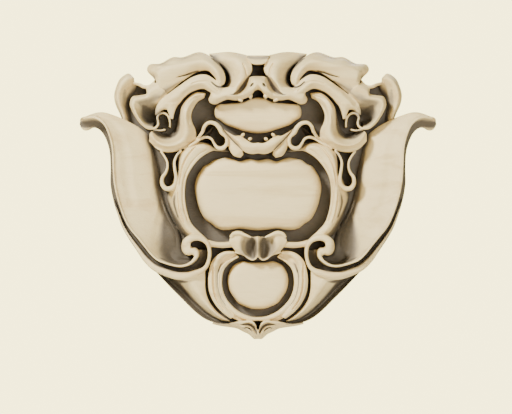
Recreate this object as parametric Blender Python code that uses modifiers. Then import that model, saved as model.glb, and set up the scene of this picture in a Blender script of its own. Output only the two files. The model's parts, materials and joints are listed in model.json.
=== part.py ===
# Carved cartouche, cut as one piece from a single board to hang flat on a wall.
# The design is drawn on a grid: out from the axis, up from the main tablet's middle, rise from the wall.
# The left half is modelled and mirrored. Front towards -Y, up +Z, flat back on Y = 0.

import bpy
import bmesh
import math
import numpy as np

# Driving sizes
width = 0.716            # over the tips of the wings
gridHalf = 179.5         # half of that width on the design grid
unit = width / 2 / gridHalf
groundTop = 8.0          # carved ground between the forms, rise from the wall
back = -4.0              # forms run this far behind the wall plane before the back is cut flat
axis = -4.0              # forms on the axis run this far across it before the half is cut
skinStep = 0.0013        # step of the skin drawn over the joined forms
facetsInHalf = 4600      # facets left on the half before the last cut
fine = 1.0               # steps along and across a form, as a share of those named with it
fineRidge = 1.0          # steps round a ridge, likewise

# Rises shared by several forms
tabletTop = 30.0
tabletEdge = 12.0
smallTop = 26.0
smallEdge = 12.0
upperTop = 30.0
upperEdge = 20.0
frameRise = 40.0


# Curves through stations; a fourth value of a station is the width of a ridge there
def dense(stations):
    p = np.array(stations, float)
    step = np.linalg.norm(np.diff(p[:, :, :3], axis=0), axis=2).mean(1) ** 0.5 + 1e-9
    step = step[:, None, None]
    slope = np.diff(p, axis=0) / step
    inner = (slope[:-1] * step[1:] + slope[1:] * step[:-1]) / (step[1:] + step[:-1])
    tangent = np.concatenate([slope[:1], inner, slope[-1:]])
    t = np.linspace(0, 1, 24, endpoint=False)[:, None, None]
    rows = []
    for i in range(len(p) - 1):
        rows.append((2*t**3 - 3*t**2 + 1) * p[i] + (t**3 - 2*t**2 + t) * step[i] * tangent[i]
                    + (3*t**2 - 2*t**3) * p[i+1] + (t**3 - t**2) * step[i] * tangent[i+1])
    return np.concatenate(rows + [p[-1:]])


def even(rows, count, last=True):
    run = np.linalg.norm(np.diff(rows[:, :, :3], axis=0), axis=2).mean(1)
    along = np.concatenate([[0], np.cumsum(run)])
    want = np.linspace(0, along[-1], count, endpoint=last)
    flat = rows.reshape(len(rows), -1)
    picked = np.stack([np.interp(want, along, flat[:, c]) for c in range(flat.shape[1])], 1)
    return picked.reshape(count, rows.shape[1], rows.shape[2])


def openLine(points, count):
    return even(dense(np.array(points, float)[:, None, :]), count)[:, 0]


def closedLine(outline, count):
    p = np.array([(o, u, 0) for o, u in outline], float)
    wrapped = np.concatenate([p[-3:], p, p[:4]])[:, None, :]
    turn = dense(wrapped)[3 * 24:(3 + len(p)) * 24 + 1]
    return even(turn, count, last=False)[:, 0]


def bilateral(half):
    return list(half) + [(-o, u) for o, u in reversed(half) if o > 0.01]


# Sections: columns of a surface between rails
def across(rails, spans):
    columns = [rails[:, 0]]
    r = 0
    for kind, amount, steps in spans:
        steps = round(steps * fine)
        if kind == "smooth":
            part = even(dense(rails[:, r:r + amount + 1].transpose(1, 0, 2)), steps + 1)
            columns += [part[i] for i in range(1, steps + 1)]
            r += amount
            continue
        a = rails[:, r]
        b = rails[:, r + 1]
        reach = np.linalg.norm((b - a)[:, :2], axis=1)
        for x in np.linspace(0, 1, steps + 1)[1:]:
            q = a + (b - a) * x
            q[:, 2] += amount * reach * math.sin(math.pi * x)
            columns.append(q)
        r += 1
    return np.stack(columns, 1)


# Closed bodies: vertices and faces
def tube(rings):
    n, m, _ = rings.shape
    i, j = np.meshgrid(np.arange(n - 1), np.arange(m), indexing="ij")
    a = i * m + j
    b = i * m + (j + 1) % m
    quads = np.stack([a, b, b + m, a + m], -1).reshape(-1, 4).tolist()
    return rings.reshape(-1, 3), quads + [list(range(m))[::-1], [(n - 1) * m + k for k in range(m)]]


def band(rails, spans, rows, tuck=0.0):
    front = across(even(dense(np.array(rails, float).transpose(1, 0, 2)), round(rows * fine)), spans)
    low = np.stack([front[:, -1], front[:, 0]], 1)
    middle = low.mean(1, keepdims=True)
    low = low + (middle - low) * tuck
    low[:, :, 2] = back
    return tube(np.concatenate([front, low], 1))


def ridge(path, rows, steps=4, depth=None):
    q = openLine(path, round(rows * fine))
    steps = round(steps * fineRidge)
    line = q[:, :3]
    wide = q[:, 3]
    d = np.gradient(line[:, :2], axis=0)
    d /= np.linalg.norm(d, axis=1)[:, None] + 1e-9
    side = np.stack([-d[:, 1], d[:, 0]], 1)
    columns = []
    for a in np.linspace(0, math.pi, steps + 1):
        c = line.copy()
        c[:, :2] += side * (wide / 2 * math.cos(a))[:, None]
        c[:, 2] += (math.sin(a) - 1) * wide * 0.5
        columns.append(c)
    front = np.stack(columns, 1)
    low = np.stack([front[:, -1], front[:, 0]], 1).copy()
    low[:, :, 2] = back if depth is None else low[:, :, 2] - depth
    return tube(np.concatenate([front, low], 1))


def boss(outline, centre, edge, top, around, rings, power=4.0):
    loop = closedLine(outline, round(around * fine))
    rings = round(rings * fine)
    c = np.array([centre[0], centre[1], 0.0])
    loops = [loop + [0, 0, back]]
    for k in range(rings):
        x = math.cos(0.5 * math.pi * k / rings)
        q = c + (loop - c) * x
        q[:, 2] = edge + (top - edge) * math.sqrt(max(0.0, 1 - x ** power))
        loops.append(q)
    rows = np.stack(loops)
    n, m, _ = rows.shape
    i, j = np.meshgrid(np.arange(n - 1), np.arange(m), indexing="ij")
    a = i * m + j
    b = i * m + (j + 1) % m
    faces = np.stack([a, b, b + m, a + m], -1).reshape(-1, 4).tolist()
    faces += [[(n - 1) * m + k, (n - 1) * m + (k + 1) % m, n * m] for k in range(m)]
    faces.append(list(range(m))[::-1])
    return np.concatenate([rows.reshape(-1, 3), [[centre[0], centre[1], top]]]), faces


def slab(outline, top, around):
    around = round(around * fine)
    loop = closedLine(outline, around)
    rows = np.stack([loop + [0, 0, back], loop + [0, 0, top]])
    m = around
    quads = [[k, (k + 1) % m, m + (k + 1) % m, m + k] for k in range(m)]
    return rows.reshape(-1, 3), quads + [list(range(m))[::-1], list(range(m, 2 * m))]


def tooth(out, up, rise, length, thick, turn):
    a = np.linspace(0, 2 * math.pi, 8, endpoint=False)
    x = length * np.cos(a)
    y = thick * np.sin(a)
    outline = np.stack([out + x * math.cos(turn) - y * math.sin(turn),
                        up + x * math.sin(turn) + y * math.cos(turn)], 1)
    return boss(outline.tolist(), (out, up), rise - 2, rise, 8, 2, 2)


def between(a, b, share, lift):
    p = np.array(a, float)
    q = np.array(b, float)
    m = p + (q - p) * share
    m[:, 2] = p[:, 2] + (q[:, 2] - p[:, 2]) * lift
    return m.tolist()


bodies = []


def add(name, body):
    bodies.append((name, body))


# Ground that joins the forms
add("ground", slab(bilateral([
    (0, 137), (30, 139), (60, 138), (88, 132), (104, 126), (104, 115), (113, 110), (124, 112), (133, 116),
    (140, 103), (137, 85), (130, 73), (118, 62), (112, 45), (112, 0), (104, -30), (92, -55), (90, -80),
    (75, -101), (58, -118), (40, -127), (20, -130), (6, -138), (0, -138)]), groundTop, 80))

# Tablets
mainEdge = [(0, 35.5), (10, 37), (19, 34.5), (25, 36.5), (32, 38), (38, 37), (44, 35.5), (50, 31.5), (55, 29),
            (58, 25), (62, 18), (64, 8), (62.5, -3), (60, -12), (57, -19), (53, -25), (47, -29), (42, -33),
            (37, -35), (30, -35.5), (20, -35), (10, -35.5), (0, -36)]
add("main tablet", boss(bilateral(mainEdge), (0, 0), tabletEdge, tabletTop, 56, 5, 16))
smallOutline = [(0, -67), (8, -67), (15, -66), (20, -67.5), (25, -70.5), (28.5, -76), (30.5, -82), (30.5, -90),
                (28.5, -97), (24, -104), (20, -109), (14, -112), (7, -114.5), (0, -115)]
add("lower tablet", boss(bilateral(smallOutline), (0, -91), smallEdge, smallTop, 40, 4, 11))
upperOutline = [(0, 98.5), (9, 97.3), (15, 94.3), (22, 93), (33, 91.8), (41, 90.8), (43.5, 85), (42.5, 78),
                (38, 75), (33, 71), (25, 68), (18, 65.5), (10, 63), (0, 62)]
add("upper tablet", boss(bilateral(upperOutline), (0, 80), upperEdge, upperTop, 40, 4, 11))

# Wings: sheets rising from the valley to the rolled lip
root = [(111, 61, 16), (109, 55, 15), (106, 45, 14), (103, 33, 13), (100, 20, 13), (98, 5, 12), (94, -10, 12),
        (88, -23, 12), (80, -37, 12), (77, -50, 12), (74, -60, 12), (66, -63, 13)]
wingMiddle = [(144, 80, 24), (138, 70, 29), (130, 58, 29), (125, 43, 30), (122, 26, 30), (120.5, 9, 30),
              (116, -8, 30), (109.5, -27, 29), (102, -42, 26), (93, -57.5, 20), (81, -66.5, 15), (68, -67, 14)]
lip = [(177.5, 77, 28), (164, 77.2, 34), (152, 67.5, 36), (146, 50, 37), (144.2, 30, 37), (143.3, 12, 37),
       (138.5, -8, 37), (129, -31, 38), (117, -46, 39), (101, -64.5, 40), (85, -71, 41), (69, -69.5, 42)]
shoulder = between(root, wingMiddle, 0.30, 0.58)
shoulder[0] = [121, 68.8, 20]
rim = between(wingMiddle, lip, 0.80, 0.72)
rim[0] = [163, 82.6, 26]
add("wing", band([root, shoulder, wingMiddle, rim, lip], [("smooth", 4, 10)], 18))

# Gutter outside the lip
gutterIn = [(178.8, 75.5, 27), (176.5, 78, 30), (168, 78.8, 33), (162, 77, 35), (157, 74.5, 36), (153, 70, 36), (150, 64, 36),
            (146, 50, 36), (144.2, 30, 36), (143.2, 11, 36), (138.5, -8, 36), (132.5, -24, 36),
            (124, -38, 37), (114, -51, 38), (102, -64, 39), (91, -69, 40), (78, -72, 41), (67, -68.5, 42),
            (61, -61, 42), (61, -55, 42)]
gutterOut = [(179.4, 71, 20), (177, 66.2, 19), (171.7, 65.6, 17), (166.5, 68.2, 16), (161.5, 67, 15), (157, 63, 14),
             (153.5, 57, 14), (149.8, 45, 14), (148.6, 28, 14), (148.6, 10, 14), (144.6, -10, 14), (138.2, -28, 14),
             (129.8, -43, 15), (119.5, -56, 15), (105, -72, 15), (92, -76.5, 15), (77, -78.5, 15), (62, -76, 15),
             (52, -67, 16), (49.5, -55, 18)]
gutterFoot = between(gutterIn, gutterOut, 0.22, 0.86)
add("gutter", band([gutterIn, gutterFoot, gutterOut], [("line", 0, 1), ("line", 0, 1)], 30))
add("lip", ridge([(175.5, 77, 30, 2.6), (163, 77.6, 35, 2.4), (154, 71.5, 37.5, 2.2), (148.5, 60, 38.5, 2),
                  (145.5, 47, 39, 1.8), (144.6, 30, 39, 1.8), (143.3, 12, 39, 1.8), (139, -7, 39, 1.8),
                  (130, -29.5, 40, 1.8), (117.5, -45.3, 41, 1.9), (101.7, -63.8, 42, 1.9), (91, -68.3, 43, 1.9),
                  (78, -71, 44, 2), (70, -69.3, 44, 2.4), (64.3, -65.2, 44, 3), (61.3, -60, 44, 4.4),
                  (62.2, -56.2, 44, 5)], 36, 3, 8))

# Bead that leaves the gutter and rolls into the volute
add("bead", ridge([(145.2, -4, 18, 1.6), (140.2, -19.5, 22, 2), (135.2, -32, 25, 2.6), (128.4, -43, 28, 3.4),
                   (120.2, -54.2, 31, 4.4), (112.5, -64.2, 33, 6), (103, -72.6, 35, 7.2), (91, -77.8, 37, 8),
                   (81, -80.6, 38, 8.3), (71, -80.6, 38, 8.3), (62, -78, 38, 7), (56, -75.5, 38, 5),
                   (51.5, -71, 38, 3.8), (49, -64, 39, 3.4), (48.4, -57, 40, 3.5), (49.8, -50, 41, 4),
                   (53.5, -45.3, 42, 5), (59.5, -42.7, 43, 6), (66, -43, 44, 6.8), (71, -46.5, 44, 8),
                   (72, -51, 44, 8.5)], 40, 5))
add("volute eye", boss([(64, -61), (66, -59.7), (69, -60.5), (73, -59.5), (75.7, -56), (76.5, -51), (75, -45),
                        (71, -43), (67.5, -45), (67.2, -48.5), (67.8, -50.5), (66, -52.6), (62, -53),
                        (60, -55), (59.3, -58), (61, -61)], (68, -55), 38, 44, 24, 3, 3))

# Frame round the main tablet
frameIn = [(28, 43, 18), (40, 44.3, 22), (48, 43.5, 34), (58, 37, 37), (66.5, 27, 38), (72, 15, 38),
           (73.3, 0, 38), (71.5, -15, 38), (67, -28, 37), (60, -36, 36), (52, -43.3, 33)]
frameCrest = [(31, 47, 17), (43, 47.5, 25), (53, 48.5, 39), (64, 46, frameRise), (74, 37.5, frameRise),
              (77.5, 20, frameRise), (80, 3, frameRise), (79, -14, frameRise), (75, -27, 39), (69, -36, 38),
              (60, -43, 36)]
frameOut = [(34, 49, 15), (47, 52, 20), (60, 53, 26), (70, 48.5, 29), (79.5, 41, 25), (83, 22, 18), (92, 3, 13),
            (89, -14, 12), (84, -27, 12), (78, -38, 13), (68, -45, 16)]
add("frame", band([frameIn, frameCrest, frameOut], [("smooth", 2, 6)], 20))

# Lower flaps
flapOut = [(104, -76, 20), (97, -83.5, 19), (88, -93, 19), (77, -104, 19), (66, -115, 19), (57, -122.5, 19),
           (48, -127.2, 19), (38, -129.3, 20), (28, -129.3, 22)]
flapHollow = [(97, -77.5, 10), (89, -86.5, 8), (79.5, -95, 8), (71, -103.5, 8), (62.5, -112, 8), (54.5, -119, 8),
              (46, -124.3, 9), (38, -127.2, 12), (30, -128.2, 16)]
flapCrest = [(72, -80, 34), (67.5, -86, 33), (63, -93, 32), (58.5, -100, 31), (53.5, -107.5, 30), (47.5, -114, 29),
             (41.5, -119.5, 28), (35, -124, 27), (30, -126, 26)]
flapIn = [(53, -72, 31), (53, -80, 30), (53, -87, 29), (52.8, -94, 28), (50.8, -103, 27), (46.8, -110.5, 26),
          (41.4, -117, 25), (34.6, -122.5, 24), (28, -126.8, 23)]
add("lower flap", band([flapOut, between(flapOut, flapHollow, 0.16, 0.1), flapHollow, flapCrest, flapIn],
                       [("line", 0, 1), ("smooth", 3, 6)], 14, 0.05))

# Strands of the ring round the lower tablet
ringIn = [(19, -62, 24), (28, -67.5, 26), (33.5, -74, 27), (36, -83, 28), (36, -93, 28), (33, -103.5, 28),
          (28, -112, 27), (21, -117.8, 25), (13, -121.3, 24), (5, -122.6, 24), (axis, -122.7, 24)]
ringOut = [(24, -57.5, 26), (34, -58, 27), (43, -65, 28), (46.5, -75, 28), (47, -87, 28), (45.5, -99, 28),
           (40, -110.5, 28), (31, -119.5, 26), (20, -126, 24), (8, -126.5, 24), (axis, -126, 24)]
add("ring base", band([ringIn, ringOut], [("line", 0, 2)], 22))
add("wide strand", band([
    [(24, -56, 30), (33, -56.5, 31), (41, -60.5, 31), (46.5, -67, 31), (49, -76, 31), (50, -86, 31),
     (49, -96, 31), (45.4, -105.5, 31), (40.4, -113, 30), (34.4, -119, 29), (27.5, -124.2, 27)],
    [(24, -59.5, 30), (31, -60.5, 30), (35.7, -64.4, 30), (39.2, -71, 30), (40.3, -79, 30), (40.4, -87, 30),
     (39.3, -95, 30), (36.8, -103, 30), (32.7, -110.5, 29), (28.2, -116, 28), (23, -121.5, 27)]],
    [("dome", 0.38, 4)], 20))
add("thin strand", ridge([(28, -65.6, 31, 1.8), (34, -69.8, 31, 2), (38.4, -77, 31, 2), (39.6, -86, 31, 2),
                          (38.6, -95, 31, 2), (36, -103.5, 31, 2), (32, -110, 30, 1.8), (27.5, -115, 28, 1.6)],
                         18, 3, 9))
add("inner strand", ridge([(20, -61.8, 28, 2), (27, -65.8, 30, 2), (33, -71.2, 30, 2.2), (36.8, -78.5, 30, 2.2),
                           (37.5, -87, 30, 2.4), (36.6, -96, 30, 2.8), (33.3, -105, 30, 3.6),
                           (27.8, -112.8, 30, 4.8), (20.8, -118.8, 30, 5), (13, -122.6, 30, 4.6),
                           (5, -124.3, 30, 3.6), (axis, -124.5, 30, 3.4)], 28, 3, 9))

# Knot between the tablets, with its arms
add("knot", band([
    [(axis, -41, 43), (axis, -48, 45), (axis, -55, 44), (axis, -60.5, 40)],
    [(-1, -41, 43), (-1, -48, 45), (-1, -55, 44), (-1, -60.5, 40)],
    [(1.9, -41.5, 40), (2.2, -48, 38), (2.2, -55, 37), (1.8, -62, 35)],
    [(5.5, -42.5, 34), (6, -49, 26), (6, -56, 25), (5, -64.6, 31)],
    [(11, -41.5, 36), (12, -48.5, 30), (11.5, -56, 29), (9.5, -63.4, 32)],
    [(17, -39, 41), (18, -47, 41), (17, -54, 40), (14, -60.3, 37)],
    [(27.5, -41, 39), (28.5, -47, 39), (25, -53, 38), (21, -57.5, 35)]],
    [("line", 0, 1), ("line", 0, 1), ("smooth", 4, 10)], 9))
add("knot lip", ridge([(27.5, -42.5, 41, 3), (24.5, -38.8, 43, 3.6), (19, -37.8, 44, 3.8), (13, -40, 44, 3),
                       (7, -42.4, 43, 1.6)], 10, 3, 8))
add("knot hem", ridge([(23, -57.2, 36, 1.7), (14, -60, 36, 1.7), (9, -63.5, 36, 1.7), (5, -64.8, 37, 1.7),
                       (1.6, -62.8, 38, 1.7)], 10, 3, 8))
add("knot arm", band([[(26, -46.5, 37), (35, -47.3, 36), (42, -47, 35), (50, -45, 36)],
                      [(24, -52, 36), (35, -53, 35), (42, -52.5, 34), (50, -51.5, 35)]],
                     [("dome", 0.35, 3)], 7))

# Bottom lips
add("bottom lip", band([
    [(46, -128.8, 20), (36, -129.2, 25), (28, -128.5, 30), (20, -126.9, 33), (12, -125.9, 35), (6, -126.3, 36),
     (2.6, -129.5, 36), (0.9, -134.5, 35), (axis, -138, 34)],
    [(46, -129.9, 16), (38, -131.9, 16), (28, -133.3, 17), (21, -134.5, 19), (15, -137.5, 20), (9.5, -140, 22),
     (6, -143, 24), (3, -145, 24), (axis, -143.5, 24)]], [("dome", 0.42, 4)], 16))

# Lower jaw, its arm and the finger that crosses it
add("jaw", band([
    [(38, 68.5, 38), (29, 62, 41), (23, 59, 43), (18, 59, 43), (12, 55.3, 44), (6, 51.8, 45), (axis, 52.8, 45)],
    [(35.5, 65.5, 37), (28, 58, 39), (22, 50.5, 40), (17, 46, 41), (12, 42.5, 41), (6, 41, 41),
     (axis, 42.6, 41)]], [("dome", 0.3, 4)], 14))
add("finger", band([
    [(37, 67.5, 38), (31, 61, 38), (25, 54.7, 38), (20, 48.5, 38), (15.6, 43.8, 38), (14.6, 40.4, 34)],
    [(35, 64.5, 36), (31, 58.5, 36), (29.5, 52, 36), (29, 46.5, 36), (24.5, 39.4, 36), (17.8, 37.4, 34)]],
    [("dome", 0.3, 4)], 10))
add("lower tooth", tooth(15.2, 60, 46, 2.4, 1.5, -0.7))
add("lower tooth", tooth(8, 56, 47, 2.1, 1.5, -0.3))
add("upper tooth", tooth(17.8, 94.8, 44, 2.8, 1.3, 0.25))
add("upper tooth", tooth(7.4, 98.4, 46, 2.2, 1.7, -0.6))

# Cheek crescents that sweep out below the ears
add("crescent", band([
    [(54, 97.5, 30), (60, 94, 32), (64.3, 88, 34), (67, 80, 36), (66, 73, 37), (63, 66, 36), (62, 58, 33),
     (65, 53, 31), (72, 48, 31), (82, 43.8, 31), (93, 43, 31), (102, 46.8, 31), (109, 54, 30)],
    [(54, 100, 35), (62, 98.5, 39), (68.5, 93, 42), (72.5, 85, 44), (73, 76, 45), (72, 66, 44), (74, 58, 43),
     (80, 52, 43), (88, 49.5, 43), (96, 50.5, 42), (102, 54, 40), (106, 58.5, 37), (108.7, 60.5, 33)],
    [(52.5, 102, 31), (62, 102.5, 32), (71, 96.3, 32), (77, 87.5, 31), (79.5, 78, 28), (81.5, 70, 20),
     (84, 65, 14), (88, 61.5, 11), (92, 61, 11), (95, 61.5, 12), (98, 62.5, 15), (102, 64, 22),
     (107, 64, 29)]], [("smooth", 2, 7)], 24))

# Pouches under the cheeks and pendants beside the frame: rims round dark hollows
add("pouch", ridge([(64, 52.5, 33, 2.4), (60, 57, 35, 2.6), (55.5, 63.5, 38, 3), (53.6, 68.5, 41, 3.2),
                    (49.5, 72.2, 43, 3.2), (43.5, 71.6, 43, 3.8), (39, 67.5, 43, 4.4), (36, 62.5, 42, 5),
                    (32.2, 58.5, 42, 3.6), (31, 54, 41, 3.4), (32.2, 49.5, 41, 3.4), (36, 46.8, 41, 4),
                    (40.5, 47.3, 40, 3.4), (44, 51.8, 39, 2.4), (46.5, 55.9, 38, 2.4), (51, 57.8, 38, 2.4),
                    (56.5, 56.5, 38, 2.4), (62, 53, 38, 2.4), (68, 49.5, 38, 2.2), (74, 46, 37, 2)], 36, 3))
add("pendant", ridge([(97.5, 44, 33, 2), (93.3, 38, 34, 2), (91, 33, 35, 2), (90.8, 27, 36, 2.2),
                      (92.7, 22, 37, 2.6), (95.7, 17.5, 38, 3.2), (96, 11.5, 38, 3.8), (92.7, 6.7, 38, 4.6),
                      (87, 6.7, 38, 4.6), (83, 11, 39, 3.6), (82, 18, 40, 3.2), (83.3, 26, 39, 2.8),
                      (83.7, 33, 38, 2.4), (81.5, 39, 37, 2.2), (77, 45, 36, 2.2)], 28, 3))

# Upper jaw: the lobe that comes down from the crest, the lip and the nose
add("inner lobe", band([
    [(11.5, 140.4, 29), (9, 134.5, 38), (6.5, 130, 40), (6, 124.5, 41), (8.5, 119.5, 42), (11.5, 114, 42),
     (14, 109, 43), (15.5, 104.5, 44)],
    [(27, 143.4, 30), (20, 135, 42), (17, 127, 45), (16.5, 120, 46), (18, 114, 47), (20.5, 109.5, 47),
     (23, 106, 47), (25, 102, 47)],
    [(49.5, 141.8, 27), (42, 134.5, 28), (34, 128.5, 28), (29.5, 122, 28), (28.5, 115.5, 29), (31, 110, 31),
     (35, 106.5, 33), (38, 103, 38)]], [("smooth", 2, 7)], 14))
add("upper lip", band([
    [(5, 102.2, 40), (10, 98, 41), (16, 95.7, 41), (23, 94.8, 41), (31, 95.8, 41), (37, 93.3, 40),
     (43, 90.9, 39), (47.8, 92.2, 38), (49.4, 96, 36), (47.8, 99.2, 36)],
    [(8, 105, 45), (13, 101.5, 47), (19, 99.5, 47.5), (26, 99, 47.5), (33, 99.5, 47), (38.5, 97.5, 46),
     (43, 96.5, 45), (46, 97, 43.5), (46.8, 98.5, 42), (46.5, 100, 41)],
    [(12, 109, 43), (16, 107, 44), (22, 107.5, 46), (28, 107.5, 45), (34, 107, 43), (40, 106.5, 43),
     (44, 105.5, 43), (46.5, 104, 42), (47.3, 102.5, 40), (47.2, 101.5, 38)]], [("smooth", 2, 7)], 16))
add("nose", boss(bilateral([(0, 118.5), (6, 118.3), (10, 116), (12.5, 110.5), (15.5, 104), (17.5, 99.5),
                            (14, 97.5), (9, 98.8), (5.5, 101.2), (3.3, 104.3), (0, 105.5)]),
                 (0, 111), 40, 54, 36, 4, 2.2))

# Crown cup between the lobes
add("crown cup", band([[(axis, 139.6, 38), (5, 139.6, 38), (11.5, 139.6, 36)],
                       [(axis, 136.5, 40), (4, 136.5, 40), (10, 136.5, 39)],
                       [(axis, 130.2, 45), (5, 130.8, 45), (9.5, 134.5, 42)]], [("smooth", 2, 4)], 6))

# Crest: main lobe with its hook, then the lobe below it
add("crest lobe", band([
    [(103.6, 115.6, 25), (106.5, 119.5, 24), (111.5, 125, 23), (109, 131, 24), (98, 132, 27),
     (86, 138.2, 28), (76, 138.2, 28), (58, 143.3, 29), (44, 136, 37), (36, 127, 40), (32.6, 117, 41),
     (34.3, 110.6, 42), (37, 109, 42)],
    [(101, 112, 37), (100, 117, 39), (100, 120.5, 41), (97, 124, 42), (91, 126, 43), (83, 129, 44),
     (74, 130.5, 45), (57, 134, 46), (47, 129.5, 47), (41.5, 123.5, 47), (38.5, 117, 47), (38, 113, 46),
     (38.3, 111, 45)],
    [(99, 105, 35), (98, 101, 33), (96, 99, 32), (92, 101, 33), (87, 104.5, 34), (82, 109, 35),
     (75, 114.5, 36), (62, 122.8, 37), (51, 124.6, 39), (45.5, 120.5, 41), (42, 116, 42), (41, 112.8, 42),
     (39.8, 110.6, 43)]],
    [("smooth", 2, 8)], 26))
add("lower lobe", band([
    [(26, 104, 42), (35, 107.3, 43), (42, 114.2, 43), (52, 120, 43), (64, 118.3, 42), (76, 111, 40),
     (88, 102.5, 38), (98.5, 94, 36), (102.5, 86, 34), (103, 80, 32)],
    [(31, 99, 44), (40, 103, 46.5), (48, 108.5, 46.5), (55, 113, 46), (65, 111, 45), (75, 104.5, 44),
     (84.5, 97, 42), (93, 90.5, 40), (98, 86, 37), (101.8, 80.7, 33)],
    [(33, 96, 42), (42, 99, 44), (48.3, 103.2, 41), (55.5, 106.4, 39), (66, 103.5, 39), (74, 97.5, 38),
     (80, 90.5, 37), (87, 84.8, 36), (94.5, 85.6, 34), (100.5, 81.5, 32)]], [("smooth", 2, 7)], 22))
add("lobe tongue", band([[(79.5, 92, 37), (83.2, 84.5, 37), (85.3, 76, 33)],
                         [(92, 91, 40), (90.3, 84, 36), (87.2, 76.5, 33)]], [("dome", 0.2, 3)], 6))

# Ear: rings round its hole
add("ear ring", ridge([(88.4, 68, 26, 1.8), (88.4, 73, 29, 1.8), (89.3, 77.5, 31, 2), (92, 81, 32, 2),
                       (95.5, 82.3, 32, 2.2), (98.8, 81.2, 32, 2.2), (101, 78, 32, 2), (100.3, 74, 31, 2),
                       (100.3, 70.5, 31, 2), (103, 67.3, 31, 2), (107, 66.6, 32, 2), (111.5, 67.4, 33, 2),
                       (115.5, 70.6, 34, 2)], 26, 3))
add("ear line", ridge([(93, 65.6, 27, 1.8), (98, 64.6, 29, 1.8), (105, 65.2, 30, 1.8)], 5, 3))

# Leaf that scoops down from the crest to the ear
add("leaf", band([
    [(100, 113, 34), (106, 111, 32), (112, 107.5, 30), (111.8, 101.5, 31), (119, 99.8, 31), (126, 98.3, 31),
     (128.5, 91, 31), (125.7, 83, 31), (122.2, 77, 31), (118.2, 71.5, 31), (112, 66.8, 31), (105, 66.1, 31)],
    [(99, 109, 38), (104.5, 107, 38), (109, 104, 38), (111, 98.5, 38), (116, 97, 38), (122.5, 95.5, 39),
     (125, 90, 39), (122.8, 84, 38), (120, 78.5, 37), (116.5, 73.5, 36), (111.5, 69, 34), (105.5, 68, 32)],
    [(96, 106, 38), (99.5, 102, 37), (102.5, 98, 35), (105.5, 94.5, 33), (109, 92.5, 31), (113, 90, 28),
     (116, 86.5, 25), (116.3, 82, 21), (115, 78, 18), (112.8, 74.5, 17), (109.5, 72, 18), (105.5, 70.8, 20)],
    [(92, 103, 36), (93, 99, 35), (94, 96, 32), (96.5, 93, 29), (99.5, 90.5, 26), (103, 88, 22), (107, 84.5, 17),
     (108.5, 80.5, 12), (108, 77.5, 10), (107, 75.5, 9), (105.5, 74.5, 9), (104, 74, 9)],
    [(90, 100, 34), (91, 97, 32), (92, 94, 28), (94, 91, 24), (96, 88, 19), (98, 86, 15), (101, 83, 12),
     (103, 80, 9), (103, 78, 9), (103, 76, 9), (103, 75, 9), (103, 74, 9)]],
    [("smooth", 4, 10)], 22))
add("leaf tip", band([[(103.4, 115.8, 30), (108, 111, 31), (113, 109.9, 31), (118, 112, 30), (125, 113.6, 26)],
                      [(104, 110, 32), (110, 107, 31), (115.5, 107.2, 30), (119.5, 109.3, 28),
                       (125, 111.4, 24)]], [("dome", 0.3, 3)], 10))

# Horns behind the crest
add("horn", band([
    [(136.5, 75, 15), (139.3, 82, 15), (143.4, 91, 16), (144.9, 100, 17), (142.8, 109, 18), (138.3, 117.6, 19),
     (130, 122.4, 20), (125.4, 118.6, 21)],
    [(134.5, 76, 21), (136.3, 83, 23), (139.5, 91.5, 25), (140.5, 100, 27), (138, 108.5, 28), (134.5, 114.5, 29),
     (129.5, 118, 28), (126, 117, 26)],
    [(128, 72, 10), (129, 80, 10), (130.5, 90, 10), (128, 99, 11), (124, 105, 12), (122.5, 109.5, 16),
     (124, 112.5, 20), (125.2, 115.5, 23)]], [("smooth", 2, 7)], 16, 0.1))


# Creases cut into the joined forms with a gouge
def gouge(path, rows):
    q = openLine(path, round(rows * fine))
    line = q[:, :3]
    wide = q[:, 3]
    d = np.gradient(line[:, :2], axis=0)
    d /= np.linalg.norm(d, axis=1)[:, None] + 1e-9
    side = np.stack([-d[:, 1], d[:, 0]], 1)
    columns = []
    for x, z in ((-2.6, 9), (-1, 2.2), (-0.62, 0.7), (0, 0), (0.62, 0.7), (1, 2.2), (2.6, 9)):
        c = line.copy()
        c[:, :2] += side * (wide * x / 2)[:, None]
        c[:, 2] += z * wide * 0.5
        columns.append(c)
    return tube(np.stack(columns, 1))


creases = [
    ("beside the nose", gouge([(8.6, 119, 42, 2.4), (11, 114.6, 37, 4.4), (13.8, 109.8, 34, 5.8),
                               (16.8, 105.4, 35, 5.8), (20.4, 101.8, 40, 4.2), (25, 99.6, 47, 1)], 10)),
    ("under the lip", gouge([(18, -129.3, 33, 0.8), (13.5, -129.8, 29, 2.4), (9, -129.8, 28, 3), (5.4, -131.8, 28, 3),
                             (3, -135.3, 28, 2.6), (1.5, -139, 30, 0.8)], 10)),
]


# Build
for thing in list(bpy.data.objects):
    bpy.data.objects.remove(thing)



def hiddenCollection(name):
    made = bpy.data.collections.new(name)
    bpy.context.scene.collection.children.link(made)
    made.hide_render = True
    return made


forms = hiddenCollection("forms")
gouges = hiddenCollection("gouges")
cutters = hiddenCollection("cutters")


def meshObject(name, verts, faces, home):
    v = np.array(verts, float)
    mesh = bpy.data.meshes.new(name)
    mesh.from_pydata(np.stack([-v[:, 0], -v[:, 2], v[:, 1]], 1) * unit, [], faces)
    bm = bmesh.new()
    bm.from_mesh(mesh)
    bmesh.ops.recalc_face_normals(bm, faces=bm.faces)
    bmesh.ops.triangulate(bm, faces=[f for f in bm.faces if len(f.verts) > 4])
    bm.to_mesh(mesh)
    bm.free()
    thing = bpy.data.objects.new(name, mesh)
    home.objects.link(thing)
    return thing


for name, (verts, faces) in bodies:
    meshObject(name, verts, faces, forms)
for name, (verts, faces) in creases:
    meshObject(name, verts, faces, gouges)

# Boards that hold the left half: a generous one for the rough cut, an exact one for the last
far = 260


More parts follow.
